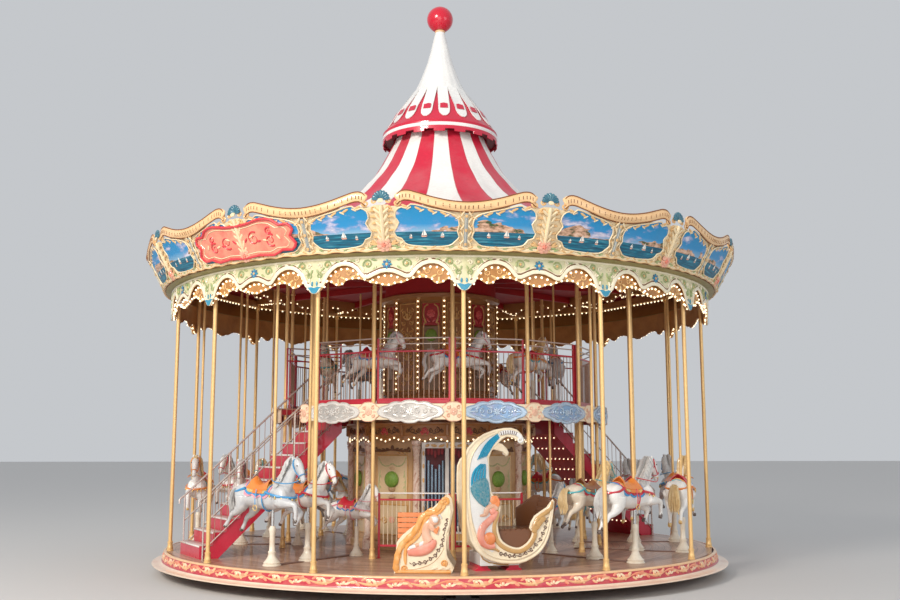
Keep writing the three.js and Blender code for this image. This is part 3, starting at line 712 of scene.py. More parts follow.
def mirror_pair(bm):
    """Joins the shape with its mirror image in x."""
    part = bm.copy()
    bmesh.ops.scale(part, vec=(-1, 1, 1), verts=part.verts)
    bmesh.ops.reverse_faces(part, faces=part.faces)
    absorb(bm, part)


def smooth_path(points, steps=4):
    """Points along a smooth line through the given ones."""
    ends = [2 * points[0] - points[1]] + list(points) + [2 * points[-1] - points[-2]]
    path = []
    for a, b, c, d in zip(ends, ends[1:], ends[2:], ends[3:]):
        for i in range(steps):
            t = i / steps
            path.append(0.5 * (2 * b + (c - a) * t + (2 * a - 5 * b + 4 * c - d) * t * t
                               + (3 * b - a - 3 * c + d) * t ** 3))
    return path + [points[-1]]


def drawn(pairs, lift=0.0):
    """Points of a flat drawing in x and z, lifted outwards."""
    return [Vector((x, -lift, z)) for x, z in pairs]


def flat_path(pairs, lift=0.0, steps=4):
    return smooth_path(drawn(pairs, lift), steps)


def closed_line(outline, lift, steps=2):
    points = drawn(outline, lift)
    return smooth_path(points + points[:1], steps)[:-1]


def petals(bm, centre, ring, count, first, reach, thick, lift, paint):
    """A ring of petals that lie across the radius of a flower."""
    for i in range(count):
        turn = 2 * math.pi * i / count + first
        leaf(bm, (centre[0] + ring * math.cos(turn), centre[1] + ring * math.sin(turn), -lift), reach, reach * 0.8,
             thick, turn + math.pi / 2, paint)


TOP_MOULDING = [(0.235, 0.80), (0.30, 0.855), (0.40, 0.862), (0.53, 0.825), (0.75, 0.755), (0.96, 0.705),
                (1.13, 0.682), (1.262, 0.675)]
SCENE_OUTLINE = [(0.17, 0.30), (0.20, 0.22), (0.28, 0.19), (0.33, 0.115), (0.45, 0.075), (0.75, 0.055),
                 (1.00, 0.07), (1.09, 0.13), (1.16, 0.21), (1.13, 0.30), (1.155, 0.40), (1.12, 0.52),
                 (1.02, 0.575), (0.86, 0.62), (0.70, 0.655), (0.56, 0.70), (0.44, 0.72), (0.37, 0.66),
                 (0.30, 0.68), (0.22, 0.63), (0.20, 0.52), (0.25, 0.44)]


def crown_half():
    """Half of a crown board, from mid-bay to the seam, drawn flat."""
    bm = bmesh.new()
    centre = flat_path(TOP_MOULDING, 0.012)
    tube(bm, centre, 0.078, 10, [0.55] + [1.0] * (len(centre) - 1), sides=3, flat=0.36)
    for shift, radius, paint in ((0.060, 0.0094, 10), (-0.060, 0.0094, 10), (0.078, 0.0094, 2), (-0.078, 0.0094, 2)):
        tube(bm, [p + Vector((0, -0.012, shift)) for p in centre], radius, paint)
    for i in range(3, len(centre) - 1, 2):
        tube(bm, [centre[i] + Vector((0, -0.028, 0.026)), centre[i] + Vector((0, -0.028, -0.026))], 0.006, 2)
    curl(bm, (0.235, 0.745), 0.055, 1.6, -1.35, 0.017, 1, steps=16, fade=(1.5, 1.0))
    for i, along in enumerate((0.36, 0.55, 0.74, 0.92, 1.08)):
        z = 0.69 - 0.11 * (along - 0.36) - 0.10 * max(0.0, along - 0.36)
        leaf(bm, (along, z, -0.02), 0.075, 0.020, 0.014, -0.5, 1)
        leaf(bm, (along + 0.05, z - 0.03, -0.02), 0.05, 0.014, 0.012, 0.5, 0)
    panel(bm, SCENE_OUTLINE, 0.010, 0.010, 3, 1, rim=0.014)
    tube(bm, closed_line(SCENE_OUTLINE, 0.024), 0.012, 0, closed=True)
    for x, z, size in ((0.62, 0.235, 0.07), (0.90, 0.225, 0.045), (0.42, 0.215, 0.035)):
        panel(bm, [(x, z), (x + size * 0.7, z + 0.01), (x + 0.004, z + size * 1.4)], 0.021, 0.002, 4)
        panel(bm, [(x - 0.006, z), (x - 0.006, z + size * 1.15), (x - size * 0.5, z + 0.006)], 0.021, 0.002, 4)
        panel(bm, [(x - size * 0.6, z - 0.006), (x - size * 0.4, z - 0.024), (x + size * 0.5, z - 0.024),
                   (x + size * 0.75, z - 0.004)], 0.021, 0.002, 5)
    base = flat_path([(0.0, 0.022), (0.16, 0.035), (0.30, 0.018), (0.46, 0.040), (0.62, 0.020), (0.80, 0.040),
                      (0.98, 0.018), (1.12, 0.036), (1.262, 0.024)], 0.012)
    tube(bm, base, 0.030, 0, sides=2, flat=0.7)
    tube(bm, [p + Vector((0, -0.016, -0.020)) for p in base], 0.009, 1)
    for i in range(9):
        leaf(bm, (0.08 + 0.137 * i, 0.045 + 0.008 * (i % 2), -0.028), 0.05, 0.014, 0.012, 0.4 if i % 2 else -0.4,
             7 if i % 3 == 1 else 1)
    for turn, x, z, r in ((1, 0.185, 0.115, 0.05), (-1, 0.30, 0.085, 0.045)):
        curl(bm, (x, z), r, math.pi * 0.5, -turn * 1.3, 0.013, 0, fade=(1.4, 0.8))
    for z, reach, tilt in ((0.20, 0.07, 0.9), (0.30, 0.08, 1.1), (0.42, 0.07, 0.8), (0.52, 0.09, 1.0),
                           (0.62, 0.10, 0.7)):
        leaf(bm, (0.055, z, -0.03), reach, 0.024, 0.020, tilt, 0)
        leaf(bm, (0.115, z + 0.02, -0.022), reach * 0.8, 0.018, 0.014, tilt - 0.9, 1)
    curl(bm, (0.10, 0.66), 0.05, -math.pi * 0.5, 1.2, 0.014, 1, fade=(1.4, 0.8))
    for z, tilt in ((0.13, 0.6), (0.25, -0.5), (0.36, 0.6), (0.47, -0.5), (0.57, 0.6)):
        leaf(bm, (1.20, z, -0.028), 0.055, 0.017, 0.014, math.pi / 2 - tilt, 0)
        leaf(bm, (1.165, z + 0.03, -0.02), 0.04, 0.013, 0.010, math.pi / 2 + tilt, 1)
    curl(bm, (1.185, 0.085), 0.04, 0.0, 1.2, 0.012, 0, steps=12)
    return bm


def crown_bay():
    bm = crown_half()
    mirror_pair(bm)
    panel(bm, [(-0.085, 0.17), (0.085, 0.17), (0.11, 0.72), (-0.11, 0.72)], 0.004, 0.012, 0)
    tube(bm, flat_path([(0.0, 0.17), (0.0, 0.35), (0.0, 0.55), (0.0, 0.72)], 0.028), 0.032, 0,
         [0.8, 0.9, 1.0, 1.05, 1.1, 1.1, 1.1, 1.1, 1.0, 1.0, 1.0, 0.9, 0.8], sides=2)
    for ring, count, reach, paint in ((0.085, 7, 0.045, 5), (0.052, 6, 0.034, 5), (0.022, 4, 0.022, 6)):
        petals(bm, (0, 0.105), ring, count, ring * 9, reach, 0.018, 0.03 + (0.09 - ring) * 0.35, paint)
    leaf(bm, (0, 0.105, -0.058), 0.020, 0.020, 0.014, 0, 6)
    for side in (-1, 1):
        for reach, tilt in ((0.10, 0.25), (0.08, -0.35), (0.07, 0.8)):
            leaf(bm, (side * 0.15, 0.10 + 0.04 * tilt, -0.02), reach, 0.022, 0.014, side * tilt, 7 if tilt < 0 else 1)
    for i in range(9):
        turn = math.radians(-78 + 19.5 * i)
        direction = Vector((math.sin(turn), 0, math.cos(turn)))
        reach = 0.155 - 0.02 * abs(i - 4) / 4
        points = [Vector((0, -0.02, 0.80)) + direction * reach * t for t in (0.1, 0.5, 0.85, 1.0)]
        tube(bm, points, 0.021, 8, [0.4, 1.0, 1.25, 0.7], sides=2)
    leaf(bm, (0, 0.80, -0.045), 0.05, 0.035, 0.028, 0, 0)
    for side in (-1, 1):
        curl(bm, (side * 0.115, 0.785), 0.045, math.pi / 2, side * 1.3, 0.016, 1)
    bend(bm.verts, crown_surface, CROWN_BEND)
    return bm


def crown_seam():
    """The grey and gilded bar that covers the joint between two boards, at angle 0."""
    bm = bmesh.new()
    panel(bm, [(-0.026, 0.06), (0.026, 0.06), (0.026, 0.58), (-0.026, 0.58)], 0.014, 0.018, 9)
    tube(bm, flat_path([(0, 0.07), (0, 0.57)], 0.036, 6), 0.010, 9)
    for side in (-1, 1):
        tube(bm, flat_path([(side * 0.034, 0.06), (side * 0.034, 0.58)], 0.02, 6), 0.009, 0)
    for z in (0.10, 0.32, 0.54):
        leaf(bm, (0, z, -0.046), 0.03, 0.022, 0.012, math.pi / 2, 1)
    bend(bm.verts, crown_surface, CROWN_BEND)
    return bm


CROWN_PAINTS = [crown_cream, crown_gold, crown_shadow, seascape, sail_white, rose_pink, banner_peach, leaf_green,
                shell_blue, post_grey, moulding_peach]
BANNER_BAY = 12


def banner():
    """A wide red cartouche with a plain peach field and scrolled rim, over the front left bay."""
    bm = bmesh.new()
    half = [(0.0, 0.60), (0.25, 0.615), (0.50, 0.66), (0.72, 0.63), (0.84, 0.53), (0.98, 0.54), (1.06, 0.44),
            (0.99, 0.34), (1.07, 0.22), (0.98, 0.12), (0.80, 0.13), (0.62, 0.06), (0.34, 0.085), (0.0, 0.06)]
    outline = half + [(-x, z) for x, z in half[-2:0:-1]]
    panel(bm, outline, 0.026, 0.012, 0)
    closed = closed_line(outline, 0.044)
    tube(bm, closed, 0.022, 1, closed=True)
    tube(bm, [Vector((p.x * 0.90, -0.040, 0.345 + (p.z - 0.345) * 0.80)) for p in closed], 0.009, 2, closed=True)
    for side in (-1, 1):
        for x, z, r, turn in ((0.30, 0.36, 0.12, 1), (0.62, 0.30, 0.10, -1), (0.62, 0.45, 0.07, 1)):
            curl(bm, (side * x, z), r, side * turn, side * turn * 1.4, 0.012, 1, 0.040, 18, 0.15, (1.3, 1.0))
        for i in range(6):
            leaf(bm, (side * (0.13 + 0.13 * i), 0.35 + 0.06 * math.sin(i * 1.9), -0.042), 0.055, 0.018, 0.010,
                 side * (0.8 - 0.35 * i), 2 if i % 2 else 1)
    bend(bm.verts, crown_surface, CROWN_BEND)
    return bm


crown_back = bmesh.new()
CROWN_SECTION = [(CROWN_LOW[0] - 0.06, CROWN_LOW[1]), (CROWN_LOW[0], CROWN_LOW[1]), (CROWN_HIGH[0] - 0.012, 5.842),
                 (CROWN_HIGH[0] - 0.03, 5.858), (CROWN_HIGH[0] - 0.052, 5.858)]
spun(crown_back, CROWN_SECTION, 168, 0)
bmesh.ops.recalc_face_normals(crown_back, faces=crown_back.faces)
for crown_face in crown_back.faces:
    outwards = crown_face.calc_center_median()
    outwards.z = 0
    crown_face.material_index = 0 if crown_face.normal.dot(outwards.normalized()) > 0.3 else 1
piece("crown_backboards", crown_back, [crown_cream, ceiling_wood], ["crown_boards"])
piece("crown_ornament", copies_round(crown_bay(), ALL_MIDDLES), CROWN_PAINTS, ["crown_boards"])
piece("crown_seam_bars", copies_round(crown_seam(), ALL_SEAMS), CROWN_PAINTS)
piece("crown_banner", copies_round(banner(), [middle(BANNER_BAY)]), [banner_peach, banner_red, crown_cream])

# Valance: a scalloped skirt of cut board under the crown, cream with green leaf scrolls outside and
# brown varnish behind, with bulbs along its edge. A second, plainer board hangs just inside it.
VALANCE_RADIUS = 5.262
VALANCE_TOP = 5.20
INNER_BOARD = 5.208
SKIRT_EDGE = [(0.0, 4.935), (0.10, 4.925), (0.20, 4.885), (0.26, 4.855), (0.30, 4.840), (0.355, 4.842),
              (0.385, 4.868), (0.412, 4.905), (0.47, 4.975), (0.55, 5.030), (0.64, 5.058), (0.72, 5.060),
              (0.80, 5.042), (0.88, 4.995), (0.95, 4.925), (1.00, 4.845), (1.035, 4.762), (1.052, 4.742),
              (1.075, 4.748), (1.088, 4.738), (1.098, 4.705), (1.125, 4.665), (1.150, 4.648), (1.1805, 4.641)]

valance_cream = painted("valance_cream", (0.90, 0.82, 0.62), 0.32, 0.35, (0.72, 0.58, 0.32), 6.0, coat=0.3)
valance_field = painted("valance_field", (0.72, 0.66, 0.42), 0.38, 0.6, (0.42, 0.44, 0.18), 3.0, coat=0.2)
flower_blue = painted("flower_blue", (0.05, 0.13, 0.30), 0.33, 0.35, (0.10, 0.38, 0.42), 16.0, coat=0.3)
tip_teal = painted("tip_teal", (0.02, 0.26, 0.42), 0.33, 0.4, (0.14, 0.44, 0.50), 12.0, coat=0.3)


def upright(radius):
    return lambda z: (radius, z, 1.0, 0.0)


def full_edge(edge, drop=0.0):
    return [(-x, z - drop) for x, z in edge[:0:-1]] + [(x, z - drop) for x, z in edge]


def skirt_board(bm, drop, top, lift, thick, paint):
    edge = full_edge(SKIRT_EDGE, drop)
    panel(bm, [(-edge[-1][0], top)] + [(x, max(z, 4.6405)) for x, z in edge] + [(edge[-1][0], top)], lift, thick,
          paint, strips=0.17)


def along_edge(drop, lift, spacing, half=SKIRT_EDGE):
    """Places a set distance apart along the scalloped edge of one bay."""
    path = drawn(full_edge(half, drop), lift)
    places, left = [], spacing / 2
    for a, b in zip(path, path[1:]):
        length = (b - a).length
        while left < length:
            places.append(a + (b - a) * (left / length))
            left += spacing
        left -= length
    return places


def valance_bay():
    bm = bmesh.new()
    skirt_board(bm, 0.0, VALANCE_TOP, -0.008, 0.008, 1)
    skirt_board(bm, 0.0, VALANCE_TOP, 0.0005, 0.0065, 8)
    edge = drawn(full_edge(SKIRT_EDGE), 0.012)
    for raise_by, radius, paint, flat in ((0.030, 0.034, 0, 0.45), (0.074, 0.0094, 2, 1.0), (0.092, 0.012, 0, 1.0)):
        tube(bm, [p + Vector((0, 0, raise_by)) for p in edge], radius, paint, flat=flat)
    tube(bm, flat_path([(-1.1805, 5.175), (-0.6, 5.178), (0.0, 5.175), (0.6, 5.178), (1.1805, 5.175)], 0.012), 0.017,
         0)
    for side in (-1, 1):
        for x, z, r, first, turns, paint in ((0.30, 5.065, 0.075, -0.4, 1.5, 3), (0.46, 5.125, 0.035, 2.2, -1.2, 0),
                                             (0.96, 5.085, 0.065, 3.4, -1.4, 3), (1.085, 5.075, 0.040, 0.2, 1.2, 0),
                                             (1.10, 4.93, 0.050, 1.8, 1.3, 3), (1.02, 4.985, 0.030, 0.0, -1.1, 0)):
            curl(bm, (x, z), r, first, turns, 0.011, paint, 0.016, fade=(1.4, 0.9), mirror=side)
        for x, z, reach, tilt, paint in (
                (0.20, 5.13, 0.055, 0.2, 3), (0.19, 5.00, 0.05, -0.7, 3), (0.38, 5.00, 0.05, 1.0, 0),
                (0.55, 5.125, 0.06, 0.1, 3), (0.66, 5.13, 0.05, -0.3, 0), (0.78, 5.125, 0.06, 0.2, 3),
                (0.88, 5.11, 0.05, 0.7, 0), (1.04, 5.02, 0.05, -0.8, 3), (1.09, 4.86, 0.05, 1.3, 0),
                (1.13, 4.99, 0.045, 1.2, 3), (1.14, 4.80, 0.045, 1.5, 4)):
            leaf(bm, (side * x, z, -0.014), reach, 0.017, 0.011, side * tilt, paint)
        for x, z in ((0.305, 5.065), (0.96, 5.085)):
            leaf(bm, (side * x, z, -0.018), 0.022, 0.022, 0.012, 0, 6)
    for i in range(8):
        turn = math.pi * i / 4
        leaf(bm, (0.045 * math.cos(turn), 5.055 + 0.045 * math.sin(turn), -0.018), 0.040, 0.020, 0.012, turn,
             5 if i % 2 else 4)
    leaf(bm, (0, 5.055, -0.024), 0.024, 0.024, 0.014, 0, 6)
    for side in (-1, 1):
        panel(bm, [(side * 1.062, 4.744), (side * 1.090, 4.722), (side * 1.135, 4.662), (side * 1.1805, 4.644),
                   (side * 1.1805, 4.735), (side * 1.12, 4.752)], 0.016, 0.012, 4)
    bend(bm.verts, upright(VALANCE_RADIUS), VALANCE_RADIUS)
    return bm


INNER_EDGE = [(0.0, 4.730), (0.06, 4.735), (0.13, 4.765), (0.24, 4.775), (0.34, 4.820), (0.45, 4.850), (0.60, 4.850),
              (0.68, 4.830), (0.73, 4.770), (0.79, 4.755), (0.85, 4.770), (0.92, 4.820), (0.98, 4.835), (1.04, 4.790),
              (1.10, 4.700), (1.1805, 4.655)]


def inner_board_bay():
    """The brown and gilt board just inside the skirt: it fills the arches and carries two rows of bulbs."""
    bm = bmesh.new()
    shrink = INNER_BOARD / VALANCE_RADIUS
    edge = [(x * shrink, z) for x, z in full_edge(INNER_EDGE)]
    panel(bm, [(edge[0][0], 5.22)] + edge + [(edge[-1][0], 5.22)], 0.0, 0.010, 1, strips=0.17)
    tube(bm, [Vector((x, -0.012, z + 0.012)) for x, z in edge], 0.013, 3)
    tube(bm, [Vector((x, 0.004, z + 0.012)) for x, z in edge], 0.010, 1)
    for side in (-1, 1):
        for x, z, r, turns in ((0.62, 4.95, 0.055, 1.4), (0.80, 4.93, 0.050, -1.3), (0.47, 4.93, 0.035, -1.2)):
            curl(bm, (x, z), r, 0.6, turns, 0.0098, 3, 0.014, 12, fade=(1.4, 0.9), mirror=side)
        for x, z, reach, tilt in ((0.71, 4.87, 0.06, 0.5), (0.79, 4.82, 0.05, 1.5), (0.55, 4.89, 0.05, -0.3)):
            leaf(bm, (side * x, z, -0.014), reach, 0.018, 0.012, side * tilt, 0)
    lower_row = along_edge(0.0, 0.024, 0.100, INNER_EDGE)
    upper_row = [p for p in along_edge(0.045, 0.024, 0.100) if not 0.24 < abs(p.x) < 0.42 and abs(p.x) < 1.03]
    bulbs(bm, [Vector((p.x * shrink, p.y, p.z + 0.012)) for p in lower_row] + upper_row, 0.019, 2)
    bend(bm.verts, upright(5.205), INNER_BOARD)
    return bm


board_brown = painted("board_brown", (0.48, 0.22, 0.06), 0.40, 0.5, (0.22, 0.08, 0.02), 4.0, coat=0.2)
VALANCE_PAINTS = [valance_cream, board_brown, crown_shadow, leaf_green, tip_teal, flower_blue, crown_gold, bulb_glass,
                  valance_field]
piece("valance_skirt", copies_round(valance_bay(), ALL_MIDDLES), VALANCE_PAINTS, ["valance"],
      sharp=50)
piece("valance_inner_board", copies_round(inner_board_bay(), ALL_MIDDLES),
      [edge_gold, board_brown, bulb_glass, crown_gold], ["valance"], sharp=50)
cove_bm = bmesh.new()
spun(cove_bm, [(5.232, 5.17), (5.262, 5.17), (5.272, 5.185), (5.29, 5.196), (5.33, 5.200), (5.37, 5.208),
               (5.395, 5.222), (5.398, 5.2385), (5.232, 5.2385)], 168, 0)
spun(cove_bm, [(5.392, 5.226), (5.404, 5.226), (5.404, 5.2385), (5.392, 5.2385)], 168, 1)
# The cove's dark olive is painted shade: it stands for the shadow band under the crown's foot.
cove_painted_shade = painted("cove_painted_shade", (0.30, 0.23, 0.08), 0.42, 0.5, (0.16, 0.18, 0.05), 3.0)
piece("valance_cove", cove_bm, [cove_painted_shade, crown_shadow], ["valance"])

# Tent: twenty-four gores of coated cloth, red and white in turn, welded edge to edge and drawn tight
# from the eave to the ring at the top, where the roof turns from nearly flat to nearly upright.
GORES = 24
WHITE_CENTRE = math.radians(-2.8)
TENT_LINE = [(5.575, 5.722), (5.44, 5.79), (5.30, 5.858), (4.80, 5.965), (4.30, 6.078), (3.80, 6.215), (3.30, 6.376),
             (2.90, 6.56), (2.50, 6.77), (2.20, 6.95), (1.95, 7.14), (1.76, 7.32), (1.59, 7.52), (1.46, 7.66),
             (1.35, 7.80), (1.24, 7.98), (1.14, 8.17), (1.06, 8.32), (0.995, 8.455), (0.965, 8.545)]


def stripe_colour(tree):
    """Red and white gores, with a thin welded seam between them and a soft sheen of dust."""
    x, y, _ = place_on(tree)
    back = number(tree, "MULTIPLY", y, -1.0)
    angle = number(tree, "SUBTRACT", number(tree, "ARCTAN2", x, back), WHITE_CENTRE)
    turn = number(tree, "MULTIPLY_ADD", angle, GORES / 2 / (2 * math.pi), 10.25)
    within = number(tree, "FRACT", turn)
    white = number(tree, "LESS_THAN", within, 0.5)
    half = number(tree, "FRACT", number(tree, "MULTIPLY", within, 2.0))
    edge = number(tree, "MINIMUM", half, number(tree, "SUBTRACT", 1.0, half))
    seam_line = number(tree, "LESS_THAN", edge, 0.018)
    stripes = mix_colour(tree, "MIX", white, (0.62, 0.012, 0.045, 1), (0.90, 0.88, 0.84, 1))
    return mix_colour(tree, "MIX", number(tree, "MULTIPLY", seam_line, 0.45), stripes, (0.35, 0.08, 0.09, 1))


tent_cloth = painted("tent_cloth", None, 0.42, 0.22, (0.50, 0.32, 0.32), 1.6, bump=0.12, coat=0.15,
                     colour_from=stripe_colour)
tent_bm = bmesh.new()
tent_verts = [tent_bm.verts.new(on_ring(r, WHITE_CENTRE + math.pi / GORES, z)) for r, z in TENT_LINE]
tent_edges = [tent_bm.edges.new(pair) for pair in zip(tent_verts, tent_verts[1:])]
bmesh.ops.spin(tent_bm, geom=tent_verts + tent_edges, cent=(0, 0, 0), axis=(0, 0, 1), angle=2 * math.pi,
               steps=GORES * 8, use_merge=True, use_duplicate=False)
for tent_vert in tent_bm.verts:
    ring = math.hypot(tent_vert.co.x, tent_vert.co.y)
    tent_turn = (math.atan2(tent_vert.co.x, -tent_vert.co.y) - WHITE_CENTRE) * GORES / (2 * math.pi) + 0.5
    hollow = math.sin(math.pi * (tent_turn % 1.0)) ** 2
    slack = min(1.0, (ring - 0.9) / 0.7) * 0.022 * hollow * (1.0 if ring < 5.4 else 0.2)
    tent_vert.co.z -= slack * min(1.0, ring / 3.0)
    tent_vert.co.x *= 1 - slack * 0.5 / ring
    tent_vert.co.y *= 1 - slack * 0.5 / ring
tent_area = sum(face.calc_area() for face in tent_bm.faces)
tent = piece("tent_gores", tent_bm, [tent_cloth], ["tent_roof"], sharp=50)

# Roof cap: a moulded lambrequin with square teeth round the tent's neck, and above it the fluted cone
# with eighteen rounded petals over red. A red ball stands on its tip.
cap_white = painted("cap_white", (0.86, 0.85, 0.82), 0.36, 0.35, (0.55, 0.56, 0.60), 2.2, coat=0.3)
cap_red = painted("cap_red", (0.60, 0.015, 0.05), 0.33, 0.25, (0.35, 0.01, 0.03), 4.0, coat=0.4)
ball_red = painted("ball_red", (0.62, 0.006, 0.03), 0.25, 0.15, (0.35, 0.0, 0.02), 5.0, coat=0.6)
cap_shade = painted("cap_shade", (0.13, 0.006, 0.015), 0.5, 0.3, (0.06, 0.01, 0.01), 4.0)
collar_peach = painted("collar_peach", (0.82, 0.50, 0.26), 0.4, 0.3, (0.6, 0.36, 0.2), 8.0)
PETALS = 18
PETAL_START = math.radians(0.7)
PETAL_TOP = 9.565
NECK_RADIUS = 1.178
BAND_TOP = 8.70
CONE_LINE = [(1.165, 8.705), (1.10, 8.80), (1.00, 8.955), (0.905, 9.125), (0.80, 9.26), (0.695, 9.39), (0.58, 9.565),
             (0.47, 9.77), (0.37, 10.02), (0.275, 10.28), (0.205, 10.54), (0.145, 10.79), (0.093, 11.0),
             (0.06, 11.018)]

cone_bm = bmesh.new()
spun(cone_bm, CONE_LINE + [(0.05, 10.95), (0.25, 10.26), (0.66, 9.37), (1.12, 8.705)], 8 * PETALS, 0)
for cone_face in cone_bm.faces:
    if cone_face.calc_center_median().z < PETAL_TOP:
        cone_face.material_index = 1
for cone_vert in cone_bm.verts:
    height = cone_vert.co.z
    cone_turn = (math.atan2(cone_vert.co.x, -cone_vert.co.y) - PETAL_START) / (2 * math.pi) * PETALS
    rib = 0.016 * abs(math.cos(math.pi * cone_turn)) * min(1.0, (11.0 - height) / 1.2)
    ring = math.hypot(cone_vert.co.x, cone_vert.co.y)
    cone_vert.co.x *= 1 + (rib - 0.016) / max(ring, 0.06) * min(1.0, ring)
    cone_vert.co.y *= 1 + (rib - 0.016) / max(ring, 0.06) * min(1.0, ring)


def cone_surface(v):
    """Radius and height of the cone's face at a height, and the outward direction there."""
    pairs = [p for p in CONE_LINE if p[1] < 11.01]
    for (r0, z0), (r1, z1) in zip(pairs, pairs[1:]):
        if v <= z1 or (r1, z1) == pairs[-1]:
            t = (v - z0) / (z1 - z0)
            length = math.hypot(r1 - r0, z1 - z0)
            return r0 + (r1 - r0) * t, v, (z1 - z0) / length, -(r1 - r0) / length


def over_cone(verts):
    """Moves points drawn flat, with x an angle and -y a lift, on to the cone's face."""
    for vert in verts:
        radius, height, out_r, out_z = cone_surface(vert.co.z)
        vert.co = on_ring(radius - vert.co.y * out_r, vert.co.x, height - vert.co.y * out_z)


def cap_petal():
    """One rounded white petal of the cone's foot, with its red square, at angle 0."""
    bm = bmesh.new()
    rows = [(0.030, 8.792), (0.065, 8.82), (0.100, 8.87), (0.114, 8.95), (0.113, 9.10), (0.108, 9.30), (0.103, 9.48)]
    outline = [(share / cone_surface(z)[0], z) for share, z in rows]
    outline += [(math.pi / PETALS * 0.998, PETAL_TOP), (math.pi / PETALS * 0.998, PETAL_TOP + 0.025)]
    panel(bm, outline + [(-a, z) for a, z in outline[::-1]], 0.004, 0.015, 0, strips=0.09)
    panel(bm, [(-0.078, 9.10), (0.078, 9.10), (0.078, 8.985), (-0.078, 8.985)], 0.020, 0.005, 1, strips=0.05)
    over_cone(bm.verts)
    return bm


cap_petals = copies_round(cap_petal(), [PETAL_START + 2 * math.pi * n / PETALS for n in range(PETALS)])
absorb(cone_bm, cap_petals)
spun(cone_bm, [(0.325, 10.085), (0.336, 10.088), (0.336, 10.096), (0.325, 10.099)], 72, 2)
spun(cone_bm, [(0.06, 10.965), (0.100, 10.972), (0.108, 10.99), (0.104, 11.012), (0.06, 11.018)], 48, 3)
piece("cone", cone_bm, [cap_white, cap_red, cap_shade, collar_peach], ["roof_cap"], sharp=40)


def lambrequin_tooth():
    """One eighteenth of the lambrequin: the red band with a square tooth below it."""
    bm = bmesh.new()
    half = math.pi / PETALS * NECK_RADIUS
    edge = [(half, 8.515), (0.112, 8.513), (0.110, 8.468), (0.102, 8.462)]
    outline = [(-half, BAND_TOP)] + [(-x, z) for x, z in edge] + edge[::-1] + [(half, BAND_TOP)]
    panel(bm, outline, 0.0, 0.012, 0, strips=0.08)
    tube(bm, drawn(outline[1:-1], 0.010), 0.006, 0)
    bend(bm.verts, lambda z: (1.174 + (BAND_TOP - z) * 0.02, z, 1.0, 0.0), NECK_RADIUS)
    return bm


TOOTH_START = math.radians(-4.6)
piece("lambrequin", copies_round(lambrequin_tooth(), [TOOTH_START + 2 * math.pi * n / PETALS for n in range(PETALS)]),
      [cap_red], ["roof_cap"])
ring_bm = bmesh.new()
spun(ring_bm, [(1.10, 8.575), (1.190, 8.578), (1.194, 8.584), (1.193, 8.640), (1.189, 8.646), (1.10, 8.65)], 108, 0)
spun(ring_bm, [(1.10, 8.672), (1.186, 8.675), (1.193, 8.69), (1.188, 8.706), (1.10, 8.71)], 108, 1)
spun(ring_bm, [(0.97, 8.545), (1.10, 8.545), (1.170, 8.56), (1.170, 8.64), (0.97, 8.62)], 108, 2)
piece("lambrequin_bands", ring_bm, [cap_white, cap_red, cap_shade], ["roof_cap"])

ball_bm = bmesh.new()
BALL_CENTRE = 11.27
BALL_RADIUS = 0.2755
ball_profile = [(0.0, 11.021), (0.085, 11.021)]
for ball_step in range(21):
    ball_turn = math.radians(-66 + 156 * ball_step / 20)
    ball_profile.append((BALL_RADIUS * math.cos(ball_turn), BALL_CENTRE + BALL_RADIUS * math.sin(ball_turn)))
spun(ball_bm, ball_profile[:-1] + [(0.0, BALL_CENTRE + BALL_RADIUS)], 48, 0, closed=False)
bmesh.ops.remove_doubles(ball_bm, verts=ball_bm.verts, dist=1e-5)
spun(ball_bm, [(BALL_RADIUS - 0.004, BALL_CENTRE - 0.010), (BALL_RADIUS + 0.0005, BALL_CENTRE - 0.006),
               (BALL_RADIUS + 0.0005, BALL_CENTRE + 0.006), (BALL_RADIUS - 0.004, BALL_CENTRE + 0.010)], 48, 0)
piece("ball", ball_bm, [ball_red], ["ball_finial"])

# Horses: moulded glass-fibre jumpers with painted tack, cast in two halves and smoothed by hand.
# Each hangs on a brass pole and slides on a steel rod that runs in its turned pedestal.
HORSE_BAYS = [1, 2, 3, 5, 8, 9, 10, 12]
ROWS = {"outer": (4.72, 1.0), "middle": (3.88, 0.9), "inner": (2.78, 0.72)}
POLE_TOP = 5.81
INNER_LEAD = math.radians(3)

